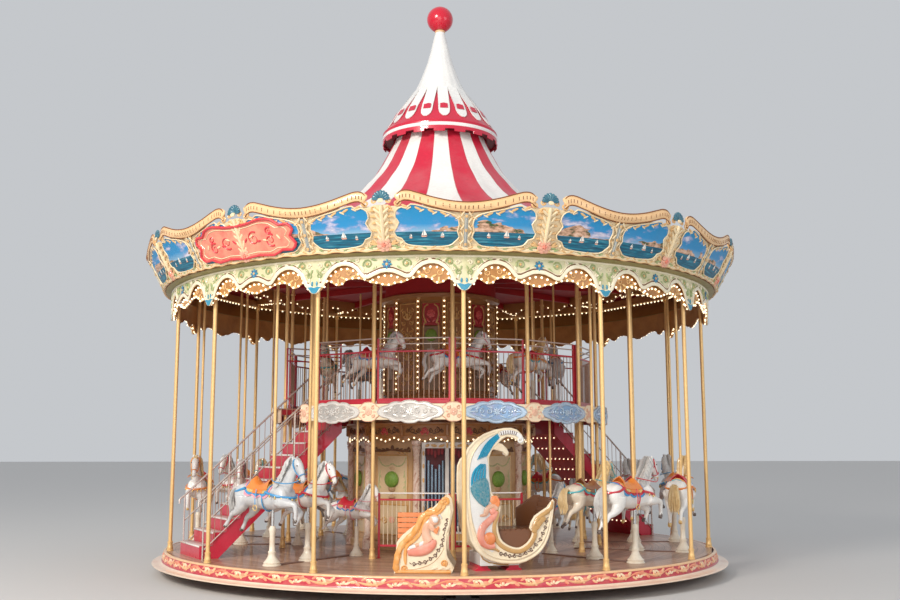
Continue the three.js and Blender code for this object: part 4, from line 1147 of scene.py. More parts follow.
SPINE = [((0.36, 1.14), 0.100), ((0.29, 1.11), 0.165), ((0.15, 1.08), 0.200), ((-0.03, 1.065), 0.198),
         ((-0.23, 1.065), 0.190), ((-0.43, 1.095), 0.195), ((-0.60, 1.115), 0.185), ((-0.73, 1.10), 0.120)]
NECK = [((0.15, 1.15), 0.170), ((0.25, 1.26), 0.150), ((0.335, 1.385), 0.122), ((0.405, 1.50), 0.098),
        ((0.465, 1.59), 0.080)]
HEAD = [((0.455, 1.625), 0.078), ((0.525, 1.585), 0.088), ((0.572, 1.510), 0.074), ((0.605, 1.430), 0.056),
        ((0.630, 1.365), 0.050), ((0.642, 1.325), 0.040)]
LEGS = [
    # side, then points of [x, y, z] with the radius there, from the shoulder or hip to the hoof
    (-1, [((0.22, 0.10, 1.03), 0.115), ((0.34, 0.115, 1.00), 0.092), ((0.50, 0.11, 0.985), 0.054),
          ((0.575, 0.108, 0.955), 0.046), ((0.585, 0.105, 0.84), 0.032), ((0.580, 0.105, 0.745), 0.036),
          ((0.560, 0.105, 0.695), 0.036)]),
    (1, [((0.22, 0.10, 1.00), 0.115), ((0.34, 0.115, 0.91), 0.085), ((0.46, 0.11, 0.855), 0.052),
         ((0.505, 0.108, 0.82), 0.046), ((0.455, 0.105, 0.725), 0.032), ((0.405, 0.105, 0.665), 0.036),
         ((0.355, 0.105, 0.66), 0.034)]),
    (-1, [((-0.56, 0.10, 1.08), 0.150), ((-0.58, 0.115, 0.94), 0.112), ((-0.70, 0.115, 0.83), 0.062),
          ((-0.80, 0.11, 0.79), 0.046), ((-0.875, 0.105, 0.695), 0.031), ((-0.940, 0.105, 0.615), 0.036),
          ((-0.985, 0.105, 0.575), 0.035)]),
    (1, [((-0.56, 0.10, 1.08), 0.150), ((-0.50, 0.115, 0.93), 0.112), ((-0.58, 0.115, 0.79), 0.060),
         ((-0.68, 0.11, 0.725), 0.045), ((-0.73, 0.105, 0.625), 0.031), ((-0.775, 0.105, 0.545), 0.036),
         ((-0.820, 0.105, 0.510), 0.034)]),
]


def limb(bm, line, side=1, flat=1.0, paint=0):
    points = [Vector((p[0], side * p[1] if len(p) == 3 else 0.0, p[-1])) for p, _ in line]
    thick = [r for _, r in line]
    path = smooth_path(points, 3)
    sizes = smooth_path([Vector((r, 0, 0)) for r in thick], 3)
    tube(bm, path, 1.0, paint, [r.x for r in sizes], sides=4, flat=flat)


def ball_of(bm, centre, size, paint=0):
    place = Matrix.Translation(centre) @ Matrix.Diagonal((*size, 1))
    rounds = 6 if max(size) < 0.035 else 16
    made = bmesh.ops.create_uvsphere(bm, u_segments=rounds, v_segments=rounds * 2 // 3, radius=1, matrix=place)
    paint_faces(made, paint)


def horse_coat():
    """The bare horse, its parts fused into one skin and smoothed."""
    bm = bmesh.new()
    limb(bm, SPINE, flat=0.86)
    limb(bm, NECK, flat=0.62)
    limb(bm, HEAD, flat=0.78)
    ball_of(bm, (0.520, 0, 1.520), (0.072, 0.058, 0.075))
    ball_of(bm, (0.628, 0, 1.335), (0.036, 0.040, 0.036))
    for side in (1, -1):
        ball_of(bm, (0.24, side * 0.10, 1.08), (0.14, 0.085, 0.17))
        ball_of(bm, (-0.58, side * 0.10, 1.105), (0.175, 0.095, 0.175))
        ball_of(bm, (0.553, side * 0.052, 1.580), (0.024, 0.016, 0.018))
        ear = [((0.455, 0.042, 1.655), 0.026), ((0.452, 0.050, 1.700), 0.021), ((0.462, 0.052, 1.745), 0.005)]
        limb(bm, ear, side)
    for side, line in LEGS:
        limb(bm, line, side)
    loose = bpy.data.meshes.new("horse_parts")
    bm.to_mesh(loose)
    bm.free()
    holder = bpy.data.objects.new("horse_parts", loose)
    bpy.context.collection.objects.link(holder)
    fuse = holder.modifiers.new("fuse", "REMESH")
    fuse.mode = "VOXEL"
    fuse.voxel_size = 0.0125
    soften = holder.modifiers.new("soften", "SMOOTH")
    soften.factor = 0.5
    soften.iterations = 7
    thin = holder.modifiers.new("thin", "DECIMATE")
    thin.ratio = 0.075
    bpy.context.view_layer.update()
    done = bpy.data.meshes.new_from_object(holder.evaluated_get(bpy.context.evaluated_depsgraph_get()))
    bpy.data.objects.remove(holder)
    bpy.data.meshes.remove(loose)
    return done


def body_shell(bm, x0, x1, reach, lift, paint, sag=0.0, bow=0.0, rise=None, steps=10, around=14):
    """A cloth or leather shape laid over the back, from x0 to x1 and down to an angle on each side."""
    grid = bmesh.ops.create_grid(bm, x_segments=steps, y_segments=around, size=0.5)["verts"]
    spine = smooth_path([Vector((p[0], 0, p[1])) for p, _ in SPINE], 4)
    sizes = smooth_path([Vector((r, 0, 0)) for _, r in SPINE], 4)
    for vert in grid:
        u, v = vert.co.x + 0.5, vert.co.y * 2
        x = x0 + (x1 - x0) * u + bow * v * v * (0.5 - u) * 2
        near = min(range(len(spine)), key=lambda i: abs(spine[i].x - x))
        radius, height = sizes[near].x, spine[near].z
        edge = sag * abs(math.sin(u * math.pi * 3)) * abs(v)
        turn = v * (reach + edge)
        extra = lift + (rise(u, v) if rise else 0.0)
        vert.co = Vector((x, 0.88 * (radius + extra) * math.sin(turn), height + (radius + extra) * math.cos(turn)))
    faces = {f for v in grid for f in v.link_faces}
    for face in faces:
        face.material_index = paint
    raised = bmesh.ops.extrude_face_region(bm, geom=list(faces))
    for vert in (g for g in raised["geom"] if isinstance(g, bmesh.types.BMVert)):
        vert.co -= (vert.co - Vector((vert.co.x, 0, 1.08))).normalized() * 0.012


def saddle_rise(u, v):
    ends = max(0.0, 1 - abs(v) * 1.5)
    pommel = 0.075 * math.exp(-((u - 0.95) / 0.10) ** 2)
    cantle = 0.085 * math.exp(-((u - 0.06) / 0.13) ** 2)
    return (pommel + cantle) * ends + 0.012 * (1 - abs(v))


COAT, MANE, HOOF, SADDLE, BLANKET, STRAP, TRIM, EYE, BRASS, STEEL = range(10)


def on_side(side, rows):
    """Points of a strap or a lock of hair, mirrored or drawn in by the side's share."""
    return [Vector((x, side * y, z)) for x, y, z in rows]


def horse_shape():
    """A whole horse with tack, at full size, its pole line at x = 0 and its nose towards +x."""
    bm = bmesh.new()
    coat = horse_coat()
    bm.from_mesh(coat)
    bpy.data.meshes.remove(coat)
    hooves = [(Vector((line[-1][0][0], side * line[-1][0][1], line[-1][0][2])), side) for side, line in LEGS]
    for face in bm.faces:
        middle_of = face.calc_center_median()
        near_hoof = min((middle_of - place).length for place, _ in hooves) < 0.062
        face.material_index = HOOF if near_hoof else COAT
    crest = flat_path([(0.17, 1.305), (0.25, 1.395), (0.315, 1.485), (0.37, 1.59), (0.425, 1.680)])
    rng = random.Random(4)
    for i, start in enumerate(crest):
        for side in (1, -1):
            wave = rng.uniform(-0.02, 0.02)
            lock = on_side(side, [(0.02, 0, 0.01), (-0.03, 0.035, 0.02), (-0.06 + wave, 0.080, -0.035),
                                  (-0.05 + wave, 0.107, -0.095), (-0.09 + wave, 0.115, -0.150)])
            tube(bm, smooth_path([start + step for step in lock], 2), 0.024, MANE,
                 [0.7, 1.0, 1.2, 1.2, 1.1, 1.0, 0.8, 0.5, 0.15], sides=0)
    for side in (0.4, -0.5, 0.0):
        points = on_side(side, [(0.455, 0.03, 1.690), (0.515, 0.05, 1.680), (0.565, 0.06, 1.625),
                                (0.585, 0.05, 1.565)])
        tube(bm, smooth_path(points, 2), 0.019, MANE, [0.8, 1.0, 1.1, 1.0, 0.8, 0.5, 0.15])
    for i in range(9):
        spread = (i - 4) / 4
        points = on_side(spread, [(-0.74, 0.015, 1.18), (-0.82, 0.035, 1.20), (-0.885, 0.055, 1.12),
                                  (-0.905 - 0.01 * (i % 3), 0.075, 0.98), (-0.880 + 0.02 * (i % 2), 0.085, 0.86),
                                  (-0.920 + 0.012 * (i % 3), 0.06, 0.75)])
        tube(bm, smooth_path(points, 2), 0.026, MANE, [0.8, 1.0, 1.1, 1.2, 1.25, 1.2, 1.1, 1.0, 0.8, 0.5, 0.15],
             sides=0)
    body_shell(bm, -0.54, 0.08, 1.42, 0.010, BLANKET, 0.20, 0.03, steps=12, around=8)
    body_shell(bm, -0.49, 0.05, 1.26, 0.020, STRAP, 0.18, 0.03, steps=12, around=8)
    body_shell(bm, -0.46, 0.03, 1.10, 0.028, TRIM, 0.16, 0.03, steps=12, around=8)
    body_shell(bm, -0.40, -0.03, 0.98, 0.040, SADDLE, 0.0, -0.05, saddle_rise, 9, 10)
    body_shell(bm, -0.28, -0.10, 1.24, 0.034, SADDLE, 0.0, -0.02, steps=3, around=8)
    for side in (1, -1):
        tube(bm, on_side(side, [(-0.19, 0.195, 1.20), (-0.19, 0.220, 1.05), (-0.19, 0.215, 0.95)]), 0.010, STRAP)
        stirrup = [Vector((-0.19 + 0.042 * math.sin(a), side * 0.218, 0.91 + 0.045 * math.cos(a)))
                   for a in (math.radians(t) for t in range(0, 360, 36))]
        tube(bm, stirrup, 0.008, TRIM, closed=True)
        cheek = on_side(side, [(0.485, 0.066, 1.670), (0.480, 0.080, 1.590), (0.525, 0.076, 1.500),
                               (0.585, 0.060, 1.425)])
        tube(bm, smooth_path(cheek, 2), 0.008, STRAP)
        reins = on_side(side, [(0.60, 0.055, 1.350), (0.50, 0.115, 1.31), (0.36, 0.165, 1.30), (0.16, 0.165, 1.33),
                               (0.0, 0.05, 1.370)])
        tube(bm, smooth_path(reins, 3), 0.008, STRAP)
        ball_of(bm, (0.605, side * 0.052, 1.360), (0.016, 0.010, 0.016), TRIM)
        ball_of(bm, (0.560, side * 0.066, 1.578), (0.014, 0.009, 0.012), EYE)
        ball_of(bm, (0.650, side * 0.024, 1.335), (0.009, 0.008, 0.010), EYE)
        breast = smooth_path(on_side(side, [(0.00, 0.190, 1.16), (0.18, 0.215, 1.12), (0.33, 0.165, 1.09),
                                            (0.435, 0.06, 1.075), (0.445, 0, 1.072)]), 3)
        tube(bm, breast, 0.022, STRAP)
        for place in breast[2:-1:2]:
            ball_of(bm, place + Vector((0.004, side * 0.010, -0.03)), (0.014, 0.012, 0.030), TRIM)
        hip = on_side(side, [(-0.46, 0.172, 1.22), (-0.62, 0.180, 1.17), (-0.74, 0.115, 1.15), (-0.785, 0, 1.145)])
        tube(bm, smooth_path(hip, 3), 0.020, STRAP)
    for x, radius_y, radius_z, height, tilt in ((0.605, 0.060, 0.062, 1.420, -1.05),
                                                (0.490, 0.080, 0.094, 1.600, 0.15)):
        loop = []
        for i in range(16):
            a = 2 * math.pi * i / 16
            away = radius_z * math.cos(a)
            loop.append(Vector((x + away * math.sin(-tilt), radius_y * math.sin(a), height + away * math.cos(tilt))))
        tube(bm, loop, 0.008, STRAP, closed=True)
    girth = []
    for i in range(24):
        a = 2 * math.pi * i / 24
        girth.append(Vector((-0.08, 0.185 * math.sin(a), 1.062 + 0.210 * math.cos(a))))
    tube(bm, girth, 0.012, STRAP, closed=True)
    whole = bpy.data.meshes.new("horse")
    bmesh.ops.recalc_face_normals(bm, faces=bm.faces)
    bm.to_mesh(whole)
    bm.free()
    return whole


HORSE = horse_shape()
white_coat = painted("white_coat", (0.86, 0.84, 0.80), 0.30, 0.35, (0.52, 0.50, 0.50), 3.0, bump=0.08, coat=0.5)
grey_coat = painted("dapple_grey", (0.62, 0.62, 0.62), 0.30, 0.6, (0.36, 0.37, 0.40), 9.0, bump=0.08, coat=0.5)
cream_coat = painted("cream_coat", (0.84, 0.74, 0.60), 0.30, 0.35, (0.60, 0.45, 0.32), 3.0, bump=0.08, coat=0.5)
silver_mane = painted("silver_mane", (0.58, 0.57, 0.55), 0.36, 0.5, (0.30, 0.29, 0.30), 16.0, bump=0.3, coat=0.3)
gold_mane = painted("gold_mane", (0.78, 0.58, 0.30), 0.36, 0.5, (0.48, 0.28, 0.10), 16.0, bump=0.3, coat=0.3)
dark_hoof = painted("dark_hoof", (0.12, 0.09, 0.08), 0.30, 0.4, (0.30, 0.24, 0.20), 12.0, coat=0.4)
gilt_hoof = painted("gilt_hoof", (0.80, 0.55, 0.22), 0.30, 0.4, (0.45, 0.22, 0.08), 12.0, coat=0.4)
tack_orange = painted("tack_orange", (0.82, 0.26, 0.05), 0.34, 0.35, (0.60, 0.10, 0.02), 9.0, coat=0.4)
tack_red = painted("tack_red", (0.62, 0.03, 0.05), 0.34, 0.3, (0.35, 0.02, 0.03), 9.0, coat=0.4)
tack_blue = painted("tack_blue", (0.06, 0.32, 0.62), 0.34, 0.35, (0.05, 0.16, 0.36), 9.0, coat=0.4)
tack_teal = painted("tack_teal", (0.10, 0.50, 0.55), 0.34, 0.35, (0.05, 0.28, 0.34), 9.0, coat=0.4)
tack_pink = painted("tack_pink", (0.84, 0.36, 0.42), 0.34, 0.35, (0.65, 0.15, 0.22), 9.0, coat=0.4)
tack_brown = painted("tack_brown", (0.30, 0.12, 0.05), 0.34, 0.35, (0.15, 0.05, 0.02), 9.0, coat=0.4)
trim_gold = painted("trim_gold", (0.85, 0.60, 0.22), 0.28, 0.3, (0.5, 0.28, 0.08), 14.0, metallic=0.4, coat=0.3)
eye_black = painted("eye_black", (0.02, 0.015, 0.012), 0.12, 0.2, (0.08, 0.05, 0.03), 20.0, coat=0.8)
rod_steel = painted("rod_steel", (0.62, 0.62, 0.62), 0.28, 0.3, (0.35, 0.32, 0.30), 6.0, metallic=0.8)
pedestal_cream = painted("pedestal_cream", (0.84, 0.76, 0.62), 0.34, 0.4, (0.60, 0.42, 0.26), 7.0, coat=0.4)
TACK = [
    [white_coat, silver_mane, dark_hoof, tack_orange, tack_blue, tack_red, trim_gold],
    [white_coat, gold_mane, gilt_hoof, tack_red, tack_teal, tack_orange, trim_gold],
    [grey_coat, silver_mane, dark_hoof, tack_orange, tack_pink, tack_blue, trim_gold],
    [cream_coat, gold_mane, dark_hoof, tack_brown, tack_red, tack_teal, trim_gold],
    [white_coat, silver_mane, gilt_hoof, tack_red, tack_blue, tack_pink, trim_gold],
]


def tack_set(n):
    return TACK[n % len(TACK)] + [eye_black, brass, rod_steel]


def placed(bm, mesh, scale, ring, angle, lift=0.0, shift=0):
    """Adds a mesh made at x = 0 to the shape, scaled, on a ring, and turned to its angle."""
    part = bmesh.new()
    part.from_mesh(mesh)
    place = Matrix.Rotation(angle, 4, "Z") @ Matrix.Translation((0, -ring, DECK_TOP + lift)) @ Matrix.Scale(scale, 4)
    absorb(bm, part, None, place, shift)


def ringed_post(bm, radius, ring, angle, low, high, paint, sides=12):
    place = on_ring(ring, angle, 0)
    post(bm, (place.x, place.y), radius, low, high, paint, sides)


for row_name in ("outer", "middle"):
    ring, scale = ROWS[row_name]
    for order, k in enumerate(HORSE_BAYS):
        horse_bm = bmesh.new()
        placed(horse_bm, HORSE, scale, ring, middle(k), (1 - scale) * 0.9)
        belly = DECK_TOP + (1 - scale) * 0.9 + 0.90 * scale
        ringed_post(horse_bm, 0.025, ring, middle(k), DECK_TOP + 0.43, belly, STEEL)
        ringed_post(horse_bm, 0.025, ring, middle(k), belly + 0.25 * scale, POLE_TOP, BRASS)
        body = f"{row_name}_{k:02d}"
        piece(f"{row_name}_rider_horse_{k:02d}", horse_bm, tack_set(order + (0 if row_name == "outer" else 3)),
              [f"{row_name}_horse_{k:02d}"], body, sharp=40, flip=False)

GUIDE = [(0, 0), (0.15, 0), (0.15, 0.014), (0.132, 0.03), (0.138, 0.05), (0.105, 0.085), (0.070, 0.14), (0.058, 0.18),
         (0.064, 0.20), (0.064, 0.22), (0.050, 0.235), (0.043, 0.34), (0.046, 0.50), (0.056, 0.545), (0.056, 0.575),
         (0.046, 0.60), (0.042, 0.62), (0.0258, 0.62), (0.0258, 0.27), (0, 0.27)]
STEM = [(0, 0), (0.12, 0), (0.12, 0.012), (0.106, 0.026), (0.11, 0.042), (0.082, 0.075), (0.052, 0.13), (0.043, 0.17),
        (0.050, 0.19), (0.050, 0.21), (0.038, 0.225), (0.034, 0.46), (0.040, 0.48), (0.040, 0.50), (0, 0.50)]
plate_brown = painted("plate_brown", (0.20, 0.10, 0.07), 0.45, 0.4, (0.32, 0.20, 0.15), 6.0)
RANK_PAINTS = [paint for n in range(len(TACK)) for paint in tack_set(n)] + [pedestal_cream, plate_brown]
CREAM_AT, PLATE_AT = len(RANK_PAINTS) - 2, len(RANK_PAINTS) - 1

rank_bm = bmesh.new()
for order, k in enumerate(HORSE_BAYS):
    for row_name in ("outer", "middle"):
        turned_cup(rank_bm, on_ring(ROWS[row_name][0], middle(k), DECK_TOP + 0.002), GUIDE, CREAM_AT, 20)
    ring, scale = ROWS["inner"]
    ahead = middle(k) + INNER_LEAD
    turned_cup(rank_bm, on_ring(ring, ahead, DECK_TOP + 0.002), STEM, CREAM_AT, 20)
    placed(rank_bm, HORSE, scale, ring, ahead, 0.0, 10 * ((order + 2) % len(TACK)))
    ringed_post(rank_bm, 0.022, ring, ahead, DECK_TOP + 0.48, DECK_TOP + 0.66, STEEL)
    ringed_post(rank_bm, 0.022, ring, ahead, DECK_TOP + 0.83, 2.898, BRASS)
    turn = Matrix.Rotation(middle(k), 4, "Z")
    board(rank_bm, (-0.06, -4.78, DECK_TOP + 0.0005), (0.06, -2.72, DECK_TOP + 0.0125), PLATE_AT, 0.003, turn)
    board(rank_bm, (0.06, -2.84, DECK_TOP + 0.0005), (0.21, -2.72, DECK_TOP + 0.0125), PLATE_AT, 0.003, turn)
piece("pedestals_and_inner_horses", rank_bm, RANK_PAINTS, [f"rank_base_{k:02d}" for k in HORSE_BAYS],
      sharp=40, flip=False)

UPPER_TOP = 3.02
UPPER_RING = 2.30
UPPER_SCALE = 0.78
upper_bm = bmesh.new()
for order, first in enumerate((5, 12)):
    for step in range(4):
        angle = (first + 0.75 + 1.5 * step) * BAY
        placed(upper_bm, HORSE, UPPER_SCALE, UPPER_RING, angle, UPPER_TOP - DECK_TOP, 10 * ((order * 4 + step) % 5))
        turned_cup(upper_bm, on_ring(UPPER_RING, angle, UPPER_TOP + 0.002), STEM, CREAM_AT, 16)
        ringed_post(upper_bm, 0.022, UPPER_RING, angle, UPPER_TOP + 0.48, UPPER_TOP + 0.72, STEEL)
        ringed_post(upper_bm, 0.022, UPPER_RING, angle, UPPER_TOP + 0.90, RAFTER_HIGH - 0.001, BRASS)
    spun(upper_bm, [(2.25, UPPER_TOP + 0.001), (2.35, UPPER_TOP + 0.001), (2.35, UPPER_TOP + 0.013),
                    (2.25, UPPER_TOP + 0.013)], 60, PLATE_AT, True, (first + 0.4) * BAY, 5.2 * BAY)
piece("upper_deck_horses", upper_bm, RANK_PAINTS, ["upper_horses"], sharp=40, flip=False)

# Upper deck: a plank floor on steel ribs with a dark red underside. Its edge is dressed with cream
# boards, rose plates at the poles and a lobed silver medallion in the middle of each bay.
STAIR_BAYS = (4, 11)
FASCIA = 3.282
FASCIA_MIDDLE = 2.885


def upper_deck_colour(tree):
    x, y, z = place_on(tree)
    edge = number(tree, "GREATER_THAN", from_axis(tree, x, y), 3.2)
    side = mix_colour(tree, "MIX", edge, (0.34, 0.012, 0.018, 1), (0.86, 0.74, 0.55, 1))
    return mix_colour(tree, "MIX", number(tree, "GREATER_THAN", z, 3.0), side, deck_colour(tree))


finish_node("upper_deck", painted("upper_deck_finish", None, 0.40, 0.25, (0.25, 0.08, 0.05), 3.0, bump=0.2,
                                  colour_from=upper_deck_colour))
fascia_cream = painted("fascia_cream", (0.88, 0.74, 0.52), 0.34, 0.4, (0.82, 0.48, 0.34), 7.0, coat=0.3)
fascia_rose = painted("fascia_rose", (0.80, 0.46, 0.32), 0.34, 0.5, (0.88, 0.68, 0.50), 12.0, coat=0.3)
# The medallions' silver is made twice: a white copy with painted sunlight, and a blue copy with painted shade and a
# painted sky reflection. Each copy has a darker version for the inner field.
silver_painted_sunlit = painted("silver_painted_sunlit", (0.82, 0.79, 0.74), 0.24, 0.4, (0.58, 0.50, 0.46), 9.0, metallic=0.25,
                       coat=0.5)
silver_inner_painted_sunlit = painted("silver_inner_painted_sunlit", (0.60, 0.57, 0.53), 0.24, 0.6, (0.26, 0.22, 0.20), 7.0, metallic=0.3, coat=0.5)
silver_painted_sky_shade = painted("silver_painted_sky_shade", (0.46, 0.60, 0.74), 0.24, 0.5, (0.76, 0.72, 0.76), 7.0, metallic=0.25, coat=0.5)
silver_inner_painted_sky_shade = painted("silver_inner_painted_sky_shade", (0.26, 0.42, 0.64), 0.24, 0.6, (0.56, 0.46, 0.60), 7.0, metallic=0.3, coat=0.5)

MEDALLION = [(0.0, 0.198), (0.09, 0.190), (0.155, 0.160), (0.235, 0.172), (0.33, 0.155), (0.39, 0.115), (0.46, 0.098),
             (0.53, 0.072), (0.585, 0.0)]


def four_way(quarter, share_x=1.0, share_z=1.0, height=0.0):
    """A closed outline from its upper right quarter."""
    right = quarter + [(x, -z) for x, z in quarter[-2::-1]]
    left = [(-x, z) for x, z in right[-2:0:-1]]
    return [(x * share_x, height + z * share_z) for x, z in right + left]


def fascia_end(bm, inner):
    """The cream board and half a rose plate on both sides of a bay, from the given distance outwards."""
    for side in (-1, 1):
        lobe = [(0.736, 2.722), (0.68, 2.726), (0.64, 2.745), (0.64, 3.025), (0.68, 3.043), (0.736, 3.048)]
        if inner < 0.6:
            lobe = [(0.736, 2.722), (0.67, 2.726), (0.62, 2.748), (0.585, 2.79), (0.55, 2.81), (0.55, 2.965),
                    (0.585, 2.982), (0.62, 3.02), (0.67, 3.043), (0.736, 3.048)]
        plate = [(side * x, z) for x, z in lobe]
        panel(bm, plate, 0.009, 0.010, 0)
        tube(bm, drawn(plate, 0.019), 0.008, 1)
    for side in (-1, 1):
        panel(bm, [(side * inner, 2.752), (side * 0.736, 2.752), (side * 0.736, 3.018), (side * inner, 3.018)], 0.0,
              0.009, 0)


def fascia_bay():
    """One bay of the deck's edge: the board, and the medallion with its carved middle."""
    bm = bmesh.new()
    fascia_end(bm, 0.0)
    panel(bm, four_way(MEDALLION, height=FASCIA_MIDDLE), 0.009, 0.016, 2)
    tube(bm, closed_line(four_way(MEDALLION, 0.975, 0.95, FASCIA_MIDDLE), 0.026), 0.011, 2, closed=True)
    panel(bm, four_way(MEDALLION, 0.80, 0.68, FASCIA_MIDDLE), 0.025, 0.004, 3)
    tube(bm, closed_line(four_way(MEDALLION, 0.80, 0.70, FASCIA_MIDDLE), 0.030), 0.010, 2, closed=True)
    for side in (-1, 1):
        for x, r, turn in ((0.13, 0.055, 1.3), (0.25, 0.045, -1.3), (0.36, 0.030, 1.2)):
            curl(bm, (side * x, FASCIA_MIDDLE + 0.01), r, 1.2, side * turn, 0.011, 2, 0.034, fade=(1.4, 0.9))
        for x, z, reach, tilt in ((0.12, 0.075, 0.06, 0.3), (0.24, -0.065, 0.06, 0.4), (0.33, 0.055, 0.05, -0.5),
                                  (0.43, 0.0, 0.06, 0.0), (0.10, -0.08, 0.05, -0.3)):
            leaf(bm, (side * x, FASCIA_MIDDLE + z, -0.032), reach, 0.016, 0.010, side * tilt, 2)
    for i in range(8):
        turn = math.pi * i / 4
        leaf(bm, (0.038 * math.cos(turn), FASCIA_MIDDLE + 0.038 * math.sin(turn), -0.036), 0.036, 0.016, 0.010, turn,
             2)
    bend(bm.verts, upright(FASCIA), FASCIA)
    return bm


def stair_fascia():
    bm = bmesh.new()
    fascia_end(bm, 0.622)
    bend(bm.verts, upright(FASCIA), FASCIA)
    return bm


def fascia_flower():
    """The painted rose with two scrolls on the plate in front of a pole."""
    bm = bmesh.new()
    for ring, count, reach in ((0.040, 6, 0.034), (0.018, 4, 0.020)):
        petals(bm, (0, FASCIA_MIDDLE), ring, count, ring * 9, reach, 0.012, 0.024 + (0.04 - ring) * 0.3, 1)
    for side in (-1, 1):
        for z, turn in ((0.07, 1.3), (-0.07, -1.3)):
            curl(bm, (side * 0.085, FASCIA_MIDDLE + z), 0.035, 1.0, side * turn, 0.0096, 1, 0.021, 12)
        leaf(bm, (side * 0.115, FASCIA_MIDDLE, -0.021), 0.035, 0.014, 0.010, 0, 1)
    bend(bm.verts, upright(FASCIA), FASCIA)
    return bm


# Medallions on the right half of the deck get the copy with painted shade and sky reflection; those on the left get
# the copy with painted sunlight.
SKY_SHADE_BAYS = [k for k in range(7) if k not in STAIR_BAYS]
SUNLIT_BAYS = [k for k in range(7, BAYS) if k not in STAIR_BAYS]
piece("fascia_medallions_blue", copies_round(fascia_bay(), [middle(k) for k in SKY_SHADE_BAYS]),
      [fascia_cream, fascia_rose, silver_painted_sky_shade, silver_inner_painted_sky_shade])
piece("fascia_medallions_white", copies_round(fascia_bay(), [middle(k) for k in SUNLIT_BAYS]),
      [fascia_cream, fascia_rose, silver_painted_sunlit, silver_inner_painted_sunlit])
piece("fascia_at_stairs", copies_round(stair_fascia(), [middle(k) for k in STAIR_BAYS]), [fascia_cream, fascia_rose])
piece("fascia_flowers", copies_round(fascia_flower(), ALL_SEAMS), [fascia_cream, fascia_rose])

# Fences: welded steel, a framed length to each bay, red with brown or white handrails. The upper
# ones guard the open edge of the deck and the lower ones close the bays in front of the core.
fence_red = painted("fence_red", (0.55, 0.02, 0.045), 0.32, 0.3, (0.30, 0.03, 0.03), 6.0, coat=0.3)
fence_brown = painted("fence_brown", (0.50, 0.38, 0.32), 0.32, 0.35, (0.70, 0.56, 0.48), 8.0, coat=0.3)
bar_brown = painted("bar_brown", (0.36, 0.20, 0.13), 0.34, 0.4, (0.60, 0.42, 0.32), 12.0, coat=0.3)
bar_cream = painted("bar_cream", (0.80, 0.66, 0.48), 0.34, 0.4, (0.45, 0.28, 0.18), 12.0, coat=0.3)
rail_white = painted("rail_white", (0.84, 0.80, 0.76), 0.28, 0.35, (0.55, 0.40, 0.36), 8.0, coat=0.4)


def fence_bay(ring, floor_height, rails, low, high, bars):
    """One framed length of fence at angle 0, with its own end posts, rails and thin bars."""
    bm = bmesh.new()
    inward = ring * math.cos(BAY / 2)
    half = ring * math.sin(BAY / 2) - 0.045
    top = floor_height + rails[-1][0]
    for side in (-1, 1):
        for reach, height in ((0.018, top), (0.035, floor_height + 0.012)):
            board(bm, (side * half - reach, -inward - reach, floor_height + 0.001),
                  (side * half + reach, -inward + reach, height), 0, 0.003)
    for height, thick, paint in rails:
        board(bm, (-half, -inward - thick, floor_height + height - thick),
              (half, -inward + thick, floor_height + height + thick), paint, 0.004)
    for i in range(bars):
        x = -half + 2 * half * (i + 1) / (bars + 1)
        post(bm, (x, -inward), 0.0075, floor_height + low, floor_height + high, 2, 6)
    return bm


UPPER_FENCE = fence_bay(3.03, UPPER_TOP, [(0.045, 0.030, 0), (0.09, 0.015, 0), (0.92, 0.015, 0), (1.05, 0.010, 1),
                                     (1.148, 0.012, 1)], 0.10, 0.90, 13)
LOWER_FENCE = fence_bay(2.94, DECK_TOP, [(0.21, 0.018, 0), (0.98, 0.015, 0), (1.09, 0.012, 1)], 0.22, 0.97, 15)
piece("upper_fences", copies_round(UPPER_FENCE, [middle(k) for k in range(BAYS) if k not in STAIR_BAYS]),
      [fence_red, fence_brown, bar_brown], ["upper_fence_1", "upper_fence_2"])
piece("lower_fences", copies_round(LOWER_FENCE, [middle(k) for k in (13, 0, 6, 7)]),
      [fence_red, rail_white, bar_cream], ["lower_fence_1", "lower_fence_2"])

# Upper core: a fourteen-sided casing of plywood round the spindle. Carved and gilded panels and red
# niches with a rose take turns, and a column of bulbs covers each corner.
core_brown = painted("core_brown", (0.36, 0.15, 0.045), 0.38, 0.4, (0.18, 0.06, 0.02), 4.0, coat=0.3)
carve_gold = painted("carve_gold", (0.66, 0.38, 0.13), 0.32, 0.45, (0.30, 0.12, 0.03), 10.0, coat=0.3)
niche_red = painted("niche_red", (0.40, 0.012, 0.02), 0.38, 0.35, (0.20, 0.01, 0.01), 5.0, coat=0.3)
rose_red = painted("rose_red", (0.62, 0.06, 0.06), 0.34, 0.4, (0.80, 0.30, 0.22), 14.0, coat=0.3)
hedge_green = painted("hedge_green", (0.16, 0.30, 0.04), 0.55, 0.6, (0.36, 0.50, 0.10), 30.0, bump=0.6)
stone_grey = painted("stone_grey", (0.55, 0.47, 0.38), 0.45, 0.5, (0.32, 0.25, 0.18), 12.0)
niche_tan = painted("niche_tan", (0.30, 0.19, 0.10), 0.42, 0.5, (0.16, 0.08, 0.03), 4.0)
UPPER_FACE = 1.125 * math.cos(BAY / 2)


def framed_field(bm, half, low, high, lift, field, frame):
    """A flat field with a round moulding along its four sides."""
    corners = [(-half, low), (half, low), (half, high), (-half, high)]
    panel(bm, corners, lift, 0.008, field, strips=9)
    for pair in zip(corners, corners[1:] + corners[:1]):
        tube(bm, drawn(pair, lift + 0.010), 0.011, frame)


def rose(bm, centre, size, lift, paint, centre_paint):
    for ring, count, reach in ((0.80, 6, 0.52), (0.40, 5, 0.40)):
        petals(bm, centre, size * ring, count, ring * 3, size * reach, size * 0.22, lift + size * 0.25 * (1 - ring),
               paint)
    leaf(bm, (centre[0], centre[1], -lift - size * 0.3), size * 0.26, size * 0.26, size * 0.2, 0, centre_paint)


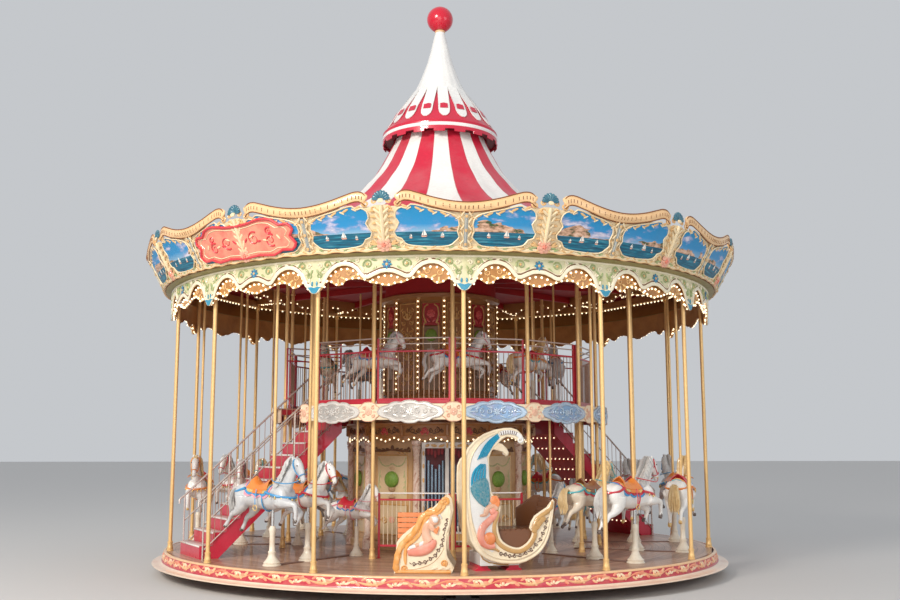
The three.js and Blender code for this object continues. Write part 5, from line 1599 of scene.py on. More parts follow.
def carved_panel():
    """A gilded panel of scrolls and leaves, at angle 0."""
    bm = bmesh.new()
    framed_field(bm, 0.185, 3.36, 5.05, UPPER_FACE, 0, 1)
    lift = UPPER_FACE + 0.014
    for z in (3.60, 3.99, 4.38, 4.77):
        for side in (-1, 1):
            for x, up, r, turn in ((0.085, 0.08, 0.062, 1.4), (0.085, -0.09, 0.050, -1.3)):
                first = side * 0.6 + (math.pi if side < 0 else 0)
                curl(bm, (side * x, z + up), r, first, side * turn, 0.012, 1, lift, fade=(1.5, 1.0))
            leaf(bm, (side * 0.06, z, -lift), 0.075, 0.022, 0.014, side * 0.7, 1)
            leaf(bm, (side * 0.13, z + 0.17, -lift), 0.050, 0.016, 0.012, -side * 0.8, 1)
        leaf(bm, (0, z + 0.02, -lift), 0.085, 0.030, 0.020, math.pi / 2, 1)
        leaf(bm, (0, z + 0.16, -lift), 0.055, 0.018, 0.014, math.pi / 2, 1)
    return bm


def niche_panel():
    """A red niche with a rose in its head and a round green tree in relief on a stone foot, at angle 0."""
    bm = bmesh.new()
    framed_field(bm, 0.185, 4.60, 5.05, UPPER_FACE, 2, 0)
    framed_field(bm, 0.185, 3.36, 4.60, UPPER_FACE, 6, 0)
    lift = UPPER_FACE + 0.012
    for side in (-1, 1):
        edge = flat_path([(side * 0.15, 3.40), (side * 0.15, 4.55), (side * 0.10, 4.66), (side * 0.145, 4.80),
                          (side * 0.13, 4.96), (side * 0.06, 5.02)], lift)
        tube(bm, edge, 0.014, 1)
        leaf(bm, (side * 0.12, 4.70, -lift), 0.06, 0.02, 0.014, side * 1.2, 1)
    rose(bm, (0, 4.84), 0.072, lift + 0.006, 3, 3)
    for side in (-1, 1):
        leaf(bm, (side * 0.055, 4.71, -lift), 0.06, 0.022, 0.014, side * 0.9, 3)
    ball_of(bm, (0, -lift - 0.01, 4.42), (0.115, 0.055, 0.125), 4)
    post(bm, (0, -lift), 0.018, 4.14, 4.32, 5, 8)
    for low, high, half in ((3.60, 3.66, 0.10), (3.66, 4.02, 0.065), (4.02, 4.06, 0.09), (4.06, 4.16, 0.075)):
        board(bm, (-half, -lift - 0.03, low), (half, -lift + 0.01, high), 5, 0.008)
    return bm


def bulb_corner():
    bm = bmesh.new()
    board(bm, (-0.034, -1.150, 3.305), (0.034, -1.10, 5.135), 0, 0.006)
    for side in (-1, 1):
        tube(bm, drawn([(side * 0.030, 3.32), (side * 0.030, 5.12)], 1.150), 0.009, 1)
    bulbs(bm, [(0, -1.156, 3.40 + 0.105 * i) for i in range(17)], 0.019, 2)
    return bm


upper_casing = spun(bmesh.new(), [
    (1.075, 3.0205), (1.188, 3.0205), (1.188, 3.10), (1.175, 3.12), (1.175, 3.24), (1.160, 3.27), (1.130, 3.285),
    (1.125, 3.30), (1.125, 5.09), (1.150, 5.105), (1.165, 5.13), (1.215, 5.155), (1.222, 5.225), (1.20, 5.242),
    (1.14, 5.25), (1.13, 5.559), (1.075, 5.559)], BAYS, 0)
for casing_face in upper_casing.faces:
    if casing_face.calc_center_median().z > 5.245:
        casing_face.material_index = 1
piece("upper_core_casing", upper_casing, [core_brown, rafter_red], ["upper_core"])
piece("upper_core_carving", copies_round(carved_panel(), [middle(k) for k in range(0, BAYS, 2)]),
      [core_brown, carve_gold])
piece("upper_core_niches", copies_round(niche_panel(), [middle(k) for k in range(1, BAYS, 2)]),
      [core_brown, carve_gold, niche_red, rose_red, hedge_green, stone_grey, niche_tan])
piece("upper_core_bulbs", copies_round(bulb_corner(), ALL_SEAMS), [core_brown, carve_gold, bulb_glass],
      sharp=50)

# Lower core: a ten-sided casing of painted panels between marbled columns, under a deep cornice with
# roses and a swagged edge of bulbs. The cornice has fourteen sides like the deck it carries.
CORE_SIDES = 10
CORE_FACE = 1.735 * math.cos(math.pi / CORE_SIDES)
CORE_TURN = 2 * math.pi / CORE_SIDES
cornice_ochre = painted("cornice_ochre", (0.44, 0.20, 0.06), 0.36, 0.45, (0.34, 0.14, 0.04), 5.0, coat=0.3)
scroll_dark = painted("scroll_dark", (0.15, 0.07, 0.035), 0.38, 0.4, (0.32, 0.17, 0.08), 9.0, coat=0.2)
panel_tan = painted("panel_tan", (0.58, 0.36, 0.17), 0.38, 0.45, (0.36, 0.18, 0.08), 4.0, coat=0.3)
panel_cream = painted("panel_cream", (0.70, 0.53, 0.32), 0.36, 0.45, (0.48, 0.40, 0.20), 3.0, coat=0.3)
garland_green = painted("garland_green", (0.46, 0.50, 0.24), 0.42, 0.5, (0.70, 0.52, 0.30), 10.0, coat=0.2)
urn_brown = painted("urn_brown", (0.56, 0.36, 0.20), 0.38, 0.45, (0.72, 0.55, 0.36), 12.0, coat=0.3)


def marble_colour(tree):
    place = tree.nodes.new("ShaderNodeTexCoord").outputs["Object"]
    broad = noise_at(tree, place, 2.2, 5.0, 0.62)
    bent = tree.nodes.new("ShaderNodeVectorMath")
    bent.operation = "MULTIPLY_ADD"
    tree.links.new(place, bent.inputs[0])
    bent.inputs[1].default_value = (1, 1, 0.55)
    lifted = joined(tree, number(tree, "MULTIPLY", broad, 0.8), 0.0, number(tree, "MULTIPLY", broad, 0.6))
    tree.links.new(lifted, bent.inputs[2])
    veins = noise_at(tree, bent.outputs[0], 14.0, 4.0, 0.6)
    return ramp(tree, veins, [(0.34, (0.52, 0.28, 0.20)), (0.46, (0.80, 0.58, 0.46)), (0.58, (0.88, 0.74, 0.62)),
                              (0.72, (0.66, 0.38, 0.28))])


marble_pink = painted("marble_pink", None, 0.24, 0.15, (0.50, 0.26, 0.18), 5.0, bump=0.05, coat=0.6,
                      colour_from=marble_colour)
COLUMN = [(0, 0), (0.100, 0), (0.100, 0.155), (0.088, 0.165), (0.094, 0.195), (0.080, 0.215), (0.086, 0.235),
          (0.066, 0.260), (0.068, 0.62), (0.066, 1.10), (0.060, 1.70), (0.070, 1.715), (0.070, 1.735), (0.062, 1.75),
          (0.070, 1.80), (0.092, 1.88), (0.078, 1.90), (0.098, 1.925), (0.098, 1.985), (0, 1.985)]


def core_panel():
    """One painted face of the core: a carved lintel, a field with an urn and round tree, and a dado."""
    bm = bmesh.new()
    panel(bm, [(-0.44, 0.60), (0.44, 0.60), (0.44, 2.37), (-0.44, 2.37)], CORE_FACE - 0.004, 0.016, 0, strips=9)
    face = CORE_FACE + 0.012
    framed_field(bm, 0.34, 1.34, 2.14, face, 1, 3)
    framed_field(bm, 0.34, 0.70, 1.24, face, 1, 3)
    lift = face + 0.012
    tube(bm, flat_path([(-0.40, 2.215), (-0.18, 2.225), (0.0, 2.245), (0.18, 2.225), (0.40, 2.215)], lift), 0.020, 2)
    for side in (-1, 1):
        curl(bm, (side * 0.375, 2.245), 0.040, math.pi / 2, side * 1.3, 0.012, 2, lift)
        for i in range(3):
            leaf(bm, (side * (0.10 + 0.09 * i), 2.255 - 0.008 * i, -lift), 0.055, 0.020, 0.014, side * 0.35, 2)
            leaf(bm, (side * (0.14 + 0.09 * i), 2.185, -lift), 0.040, 0.014, 0.012, -side * 0.5, 3)
        swag = flat_path([(side * 0.31, 2.10), (side * 0.24, 1.98), (side * 0.12, 1.94), (0.0, 1.99)], face + 0.010)
        tube(bm, swag, 0.0095, 4)
        for i, point in enumerate(swag[1::2]):
            leaf(bm, (point.x, point.z, -lift), 0.032, 0.014, 0.010, side * (0.9 - 0.3 * i), 4)
        tube(bm, flat_path([(side * 0.29, 1.42), (side * 0.30, 1.64), (side * 0.27, 1.86)], face + 0.009), 0.0095, 4)
        for i in range(4):
            leaf(bm, (side * (0.285 - 0.02 * (i % 2)), 1.46 + 0.10 * i, -lift), 0.036, 0.014, 0.010, side * 1.1, 4)
        curl(bm, (side * 0.17, 0.97), 0.075, 0.4, side * 1.5, 0.012, 3, lift, 16, 0.15, (1.4, 0.9))
        leaf(bm, (side * 0.28, 0.97, -lift), 0.050, 0.018, 0.012, 0.3 * side, 3)
    leaf(bm, (0, 2.275, -lift), 0.060, 0.035, 0.022, math.pi / 2, 2)
    rose(bm, (0, 0.97), 0.055, lift, 5, 5)
    turned_cup(bm, Vector((0, -face, 1.37)), [(0, 0), (0.075, 0), (0.075, 0.02), (0.030, 0.05), (0.026, 0.09),
                                             (0.070, 0.13), (0.082, 0.17), (0.060, 0.185), (0, 0.185)], 6, 12)
    ball_of(bm, (0, -face - 0.03, 1.70), (0.150, 0.075, 0.150), 7)
    leaf(bm, (0, 1.90, -face - 0.012), 0.035, 0.060, 0.014, math.pi / 2, 6)
    return bm


def cornice_bay():
    """One side of the cornice: a rose between two scrolls, and the swag of bulbs below, at angle 0."""
    bm = bmesh.new()
    low_face = 1.808 * math.cos(BAY / 2)
    tilt = math.atan2((1.878 - 1.842) * math.cos(BAY / 2), 0.185)
    rose(bm, (0, 0.095), 0.050, 0.006, 3, 3)
    for side in (-1, 1):
        leaf(bm, (side * 0.055, 0.045, -0.008), 0.050, 0.020, 0.012, side * 1.0, 3)
        for x, z, r, turn in ((0.125, 0.085, 0.045, 1.4), (0.225, 0.095, 0.060, -1.4), (0.325, 0.085, 0.035, 1.3)):
            curl(bm, (side * x, z), r, math.pi / 2, side * turn, 0.0096, 1, 0.008, fade=(1.3, 0.8))
        leaf(bm, (side * 0.18, 0.04, -0.006), 0.050, 0.014, 0.010, side * 0.3, 1)
    place = Matrix.Translation((0, -1.842 * math.cos(BAY / 2), 2.502)) @ Matrix.Rotation(tilt, 4, "X")
    bmesh.ops.transform(bm, matrix=place, verts=bm.verts)
    half = 1.808 * math.sin(BAY / 2)
    wave = [(-half + 2 * half * i / 16, 2.412 + 0.030 * math.cos(4 * math.pi * i / 16 + math.pi)) for i in range(17)]
    panel(bm, [(-half, 2.495)] + wave + [(half, 2.495)], low_face, 0.012, 0, strips=9)
    tube(bm, [Vector((x, -low_face - 0.014, z + 0.012)) for x, z in wave], 0.0096, 2)
    bulbs(bm, [Vector((x, -low_face - 0.020, z + 0.016)) for x, z in wave[::2][:-1]], 0.018, 4)
    return bm


core_casing = spun(bmesh.new(), [
    (1.675, 0.4205), (1.792, 0.4205), (1.792, 0.53), (1.780, 0.545), (1.775, 0.565), (1.745, 0.58), (1.735, 0.595),
    (1.735, 2.45), (1.735, 2.8992), (1.675, 2.8992)], CORE_SIDES, 0, True, CORE_TURN / 2)
spun(core_casing, [(1.70, 2.44), (1.800, 2.44), (1.808, 2.46), (1.808, 2.485), (1.842, 2.50), (1.878, 2.685),
                   (1.895, 2.70), (1.899, 2.715), (1.899, 2.737), (1.70, 2.7395)], BAYS, 1)
piece("lower_core_casing", core_casing, [panel_tan, cornice_ochre], ["lower_core"])
core_columns = bmesh.new()
for n in range(CORE_SIDES):
    turned_cup(core_columns, on_ring(1.755, (n + 0.5) * CORE_TURN, 0.421), COLUMN, 0, 14)
for n in range(BAYS):
    turn = Matrix.Rotation(seam(n), 4, "Z")
    board(core_columns, (-0.018, -1.905, 2.50), (0.018, -1.80, 2.695), 1, 0.004, turn)
piece("lower_core_columns", core_columns, [marble_pink, cornice_ochre], ["lower_core"])
piece("lower_core_panels", copies_round(core_panel(), [n * CORE_TURN for n in range(1, CORE_SIDES)]),
      [panel_tan, panel_cream, scroll_dark, carve_gold, garland_green, rose_pink, urn_brown, hedge_green],
      ["lower_core"])
piece("lower_core_cornice", copies_round(cornice_bay(), ALL_MIDDLES),
      [cornice_ochre, scroll_dark, carve_gold, rose_red, bulb_glass], ["lower_core"], sharp=50)

# Organ front: a white case set against the core, with two banks of blue-grey pipes in a dark red
# recess, a red swag above each bank and a carved dado below.
ORGAN_BACK = 1.75 * math.cos(math.pi / CORE_SIDES) + 0.0005
organ_white = painted("organ_white", (0.74, 0.70, 0.64), 0.32, 0.45, (0.46, 0.40, 0.36), 6.0, coat=0.4)
organ_dark = painted("organ_dark", (0.12, 0.012, 0.018), 0.5, 0.3, (0.25, 0.03, 0.03), 5.0)
drape_maroon = painted("drape_maroon", (0.085, 0.004, 0.006), 0.6, 0.4, (0.16, 0.01, 0.01), 6.0)
drape_red = painted("drape_red", (0.26, 0.010, 0.014), 0.55, 0.4, (0.10, 0.004, 0.006), 7.0)
pipe_blue = painted("pipe_blue", (0.26, 0.34, 0.42), 0.24, 0.4, (0.24, 0.28, 0.34), 8.0, metallic=0.75)
pipe_mouth = painted("pipe_mouth", (0.04, 0.04, 0.05), 0.5, 0.3, (0.12, 0.12, 0.12), 8.0)
front = ORGAN_BACK + 0.19

organ = bmesh.new()
board(organ, (-0.46, -front, 0.60), (0.46, -ORGAN_BACK, 0.78), 0, 0.006)
board(organ, (-0.46, -front, 2.27), (0.46, -ORGAN_BACK, 2.378), 0, 0.006)
board(organ, (-0.40, -ORGAN_BACK - 0.04, 0.78), (0.40, -ORGAN_BACK, 2.27), 1)
for x0, x1 in ((-0.46, -0.40), (0.40, 0.46), (-0.035, 0.035)):
    board(organ, (x0, -front, 0.78), (x1, -ORGAN_BACK - 0.04, 2.27), 0, 0.005)
for side in (-1, 1):
    tube(organ, drawn([(side * 0.43, 0.80), (side * 0.43, 2.26)], front + 0.008), 0.014, 0)
    for z in (0.95, 1.20, 1.45, 1.70, 1.95, 2.18):
        leaf(organ, (side * 0.43, z, -front - 0.016), 0.050, 0.020, 0.012, math.pi / 2, 4)
    for i in range(6):
        x = side * (0.072 + 0.066 * i)
        height = 1.90 + abs(2 - i) * 0.075
        place = Matrix.Translation((x, -ORGAN_BACK - 0.11, 0.83))
        bmesh.ops.create_cone(organ, cap_ends=True, segments=10, radius1=0.010, radius2=0.024, depth=0.10,
                              matrix=place)
        post(organ, (x, -ORGAN_BACK - 0.11), 0.024, 0.88, height, 2, 10)
        board(organ, (x - 0.012, -ORGAN_BACK - 0.137, 0.95), (x + 0.012, -ORGAN_BACK - 0.128, 0.985), 3)
        tube(organ, [Vector((x - 0.016, -ORGAN_BACK - 0.134, 0.993)), Vector((x, -ORGAN_BACK - 0.138, 1.02)),
                     Vector((x + 0.016, -ORGAN_BACK - 0.134, 0.993))], 0.004, 2)
    drape = [(0.050, 2.268), (0.390, 2.268), (0.372, 2.190), (0.315, 2.155), (0.262, 2.150), (0.215, 2.035),
             (0.172, 2.150), (0.118, 2.160), (0.062, 2.195)]
    panel(organ, [(side * x, z) for x, z in drape], front - 0.040, 0.016, 5, strips=9)
    for x, low in ((0.09, 2.19), (0.15, 2.17), (0.215, 2.08), (0.28, 2.17), (0.34, 2.18)):
        leaf(organ, (side * x, (low + 2.25) / 2, -front + 0.022), 0.080, 0.026, 0.014, math.pi / 2, 6)
    panel(organ, [(side * 0.06, 0.63), (side * 0.38, 0.63), (side * 0.38, 0.75), (side * 0.06, 0.75)], front, 0.005,
          4)
for x, z, reach, tilt in ((0.0, 2.325, 0.06, math.pi / 2), (-0.10, 2.315, 0.07, 0.3), (0.10, 2.315, 0.07, -0.3),
                          (-0.24, 2.320, 0.07, -0.2), (0.24, 2.320, 0.07, 0.2), (-0.36, 2.32, 0.05, 0.4),
                          (0.36, 2.32, 0.05, -0.4)):
    leaf(organ, (x, z, -front - 0.004), reach, 0.026, 0.016, tilt, 4)
piece("organ_case", organ,
      [organ_white, organ_dark, pipe_blue, pipe_mouth, carve_gold, drape_maroon, drape_red],
      ["organ_front"])

# Stairs: welded steel flights with sawtooth sides, enamelled crimson, with pale chequer-plate treads,
# white nosings and a row of bulbs on every riser. Thin steel rails follow each side to the deck.
STAIR_FOOT = 4.99
RISERS = 12
GOING = 0.235
RISE = (UPPER_TOP - DECK_TOP) / RISERS
stair_red = painted("stair_red", (0.62, 0.015, 0.05), 0.32, 0.3, (0.30, 0.01, 0.02), 4.0, coat=0.4)
tread_pale = painted("tread_pale", (0.66, 0.50, 0.46), 0.42, 0.5, (0.40, 0.24, 0.22), 14.0, bump=0.5)
rail_steel = painted("rail_steel", (0.62, 0.55, 0.50), 0.28, 0.35, (0.40, 0.26, 0.20), 6.0, metallic=0.55)
for stair_name in ("stair_1", "stair_2"):
    finish_node(stair_name, stair_red)


def stair_trim():
    """Treads and nosings of one flight that climbs towards the axis at angle 0, and the bulbs below it."""
    bm = bmesh.new()
    for i in range(RISERS - 1):
        r, z = STAIR_FOOT - i * GOING, DECK_TOP + (i + 1) * RISE
        inner = r - GOING + (0.004 if i < RISERS - 2 else 0.03)
        board(bm, (-0.560, -r - 0.004, z + 0.0003), (0.560, -inner, z + 0.006), 1, 0.002)
        board(bm, (-0.572, -r - 0.012, z - 0.022), (0.572, -r - 0.0003, z + 0.007), 2, 0.004)
    for i in range(9):
        low = DECK_TOP + 0.30 + 0.22 * i
        r = 4.66 - (low - DECK_TOP) * (4.66 - 2.40) / (2.56 - DECK_TOP) - 0.012
        bulbs(bm, [(-0.45 + 0.15 * j, -r, low) for j in range(7)], 0.014, 3)
    return bm


def stair_line(r, above):
    return DECK_TOP + (STAIR_FOOT - r) * (UPPER_TOP - DECK_TOP) / (RISERS * GOING) + above


def stair_rails():
    """Handrails, knee rails, posts and thin bars on both sides of a flight, and the guards beside the well."""
    bm = bmesh.new()
    for side in (-1, 1):
        x = side * 0.589
        top = [Vector((x, -5.03, stair_line(4.98, 0.86))), Vector((x, -5.035, stair_line(4.98, 0.93))),
               Vector((x, -5.0, stair_line(4.98, 0.968)))]
        run = [Vector((x, -r, stair_line(r, 0.97))) for r in (4.94, 4.3, 3.7, 3.1, 2.44)]
        tube(bm, top + run, 0.018, 0, sides=2)
        tube(bm, [Vector((x, -4.94, stair_line(4.94, 0.52))), Vector((x, -2.45, stair_line(2.45, 0.52)))], 0.011, 0)
        tube(bm, [Vector((x, -4.92, stair_line(4.92, 0.09))), Vector((x, -2.52, stair_line(2.52, 0.09)))], 0.010, 0)
        for r, low in ((4.94, None), (4.13, 0.02), (3.33, 0.02), (2.52, 0.02)):
            post(bm, (x, -r), 0.015, DECK_TOP + 0.001 if low is None else stair_line(r, low), stair_line(r, 0.965), 0,
                 8)
        for i in range(22):
            r = 4.85 - 0.107 * i
            post(bm, (x, -r), 0.006, stair_line(r, 0.085), stair_line(r, 0.965), 1, 6)
        for height, thick, paint in ((4.17, 0.013, 3), (4.05, 0.010, 3), (3.93, 0.014, 2)):
            tube(bm, [Vector((x, -3.045, height)), Vector((x, -2.44, height))], thick, paint)
        for r in (3.04, 2.45):
            board(bm, (x - 0.015, -r - 0.015, stair_line(r, 0.955)), (x + 0.015, -r + 0.015, 4.178), 2, 0.003)
    return bm


for n, k in enumerate(STAIR_BAYS):
    piece(f"stair_{n + 1}_treads", copies_round(stair_trim(), [middle(k)]),
          [stair_red, tread_pale, rail_white, bulb_glass], sharp=50)
    piece(f"stair_{n + 1}_rails", copies_round(stair_rails(), [middle(k)]),
          [rail_steel, bar_brown, fence_red, fence_brown],
          [f"stair_{n + 1}_rail_left", f"stair_{n + 1}_rail_right"])

# Moon chariots: two crescent side plates of moulded plastic with a wooden bowl seat between them, on a
# white block and red feet. The outer face has blue feathers, a swan in relief and painted scrolls.
MOON_TURN = math.radians(9)
CRESCENT = [(-0.130, 0.136), (0.160, 0.129), (0.335, 0.188), (0.472, 0.276), (0.572, 0.401), (0.650, 0.600),
            (0.709, 0.949), (0.709, 1.051), (0.620, 0.932), (0.421, 0.806), (0.341, 0.643), (0.389, 0.587),
            (0.358, 0.478), (0.279, 0.389), (0.162, 0.328), (0.046, 0.340), (-0.070, 0.396), (-0.155, 0.488),
            (-0.202, 0.706), (-0.151, 0.960), (-0.294, 1.181), (-0.329, 1.713), (-0.201, 1.916), (-0.034, 2.047),
            (0.142, 2.000), (0.210, 1.926), (0.244, 1.982), (0.133, 2.122), (-0.072, 2.143), (-0.385, 2.055),
            (-0.637, 1.842), (-0.688, 1.585), (-0.675, 0.967), (-0.595, 0.479), (-0.435, 0.260), (-0.302, 0.185)]
BOWL = [(-0.30, 0.25), (0.35, 0.25), (0.57, 0.43), (0.72, 0.70), (0.80, 1.05), (0.755, 1.085), (0.65, 0.76),
        (0.60, 0.61), (-0.14, 0.60), (-0.25, 0.76), (-0.33, 1.25), (-0.375, 1.25), (-0.32, 0.74), (-0.39, 0.42)]

moon_cream = painted("moon_cream", (0.86, 0.74, 0.54), 0.32, 0.4, (0.66, 0.46, 0.26), 5.0, coat=0.4)
moon_white = painted("moon_white", (0.78, 0.77, 0.74), 0.30, 0.45, (0.56, 0.56, 0.58), 5.0, coat=0.5)
feather_blue = painted("feather_blue", (0.002, 0.25, 0.42), 0.28, 0.45, (0.01, 0.36, 0.50), 8.0, coat=0.5)
disc_teal = painted("disc_teal", (0.045, 0.25, 0.33), 0.30, 0.75, (0.36, 0.42, 0.42), 34.0, coat=0.4)
swan_coral = painted("swan_coral", (0.80, 0.27, 0.19), 0.32, 0.5, (0.88, 0.52, 0.40), 7.0, coat=0.4)
swan_orange = painted("swan_orange", (0.80, 0.24, 0.07), 0.32, 0.45, (0.86, 0.42, 0.20), 9.0, coat=0.4)
horn_gold = painted("horn_gold", (0.56, 0.33, 0.12), 0.32, 0.5, (0.34, 0.16, 0.05), 9.0, coat=0.4)
scroll_black = painted("scroll_black", (0.12, 0.055, 0.045), 0.36, 0.3, (0.32, 0.18, 0.12), 12.0, coat=0.2)
seat_brown = painted("seat_brown", (0.17, 0.062, 0.022), 0.32, 0.45, (0.16, 0.06, 0.02), 5.0, coat=0.5)
swan_peach = painted("swan_peach", (0.72, 0.38, 0.24), 0.32, 0.5, (0.84, 0.60, 0.46), 7.0, coat=0.4)
sleigh_gold = painted("sleigh_gold", (0.76, 0.33, 0.075), 0.32, 0.55, (0.86, 0.56, 0.26), 6.0, coat=0.4)
CHARIOT_PAINTS = [moon_cream, moon_white, feather_blue, disc_teal, swan_coral, swan_orange, horn_gold, scroll_black,
                  seat_brown, stair_red, swan_peach, sleigh_gold]


def solid_board(bm, outline, near, far, paint):
    """A board with the outline in x and z, from one distance to the other along the view from outside."""
    face = bm.faces.new([bm.verts.new((x, -near, z)) for x, z in outline])
    grown = bmesh.ops.extrude_face_region(bm, geom=[face])["geom"]
    bmesh.ops.translate(bm, vec=(0, near - far, 0), verts=[g for g in grown if isinstance(g, bmesh.types.BMVert)])
    bm.faces.index_update()
    sides = {f for g in grown if isinstance(g, bmesh.types.BMVert) for f in g.link_faces} | {face}
    for part in sides:
        part.material_index = paint


def running_scroll(bm, path, size, lift, paint):
    """A painted row of small scrolls and leaves along a line."""
    for i in range(0, len(path) - 1, 2):
        here, ahead = path[i], path[i + 1]
        way = math.atan2(ahead.z - here.z, ahead.x - here.x)
        turn = 1 if i % 4 else -1
        curl(bm, (here.x, here.z), size, way + turn * 1.2, turn * 1.2, size * 0.20, paint, lift, 10, 0.25,
             (1.4, 0.8))
        leaf(bm, (ahead.x, ahead.z, -lift), size * 0.9, size * 0.24, size * 0.2, way - turn * 0.5, paint)


def feathers(bm, outer, inner, count, radius, taper):
    """Feathers side by side between two lines, with the field showing between them."""
    for i in range(count):
        share = (i + 0.5) / count
        line = [(a[0] + (b[0] - a[0]) * share, a[1] + (b[1] - a[1]) * share) for a, b in zip(outer, inner)]
        tube(bm, flat_path(line, 0.012, 3), radius, 2, taper, sides=2, flat=0.6)


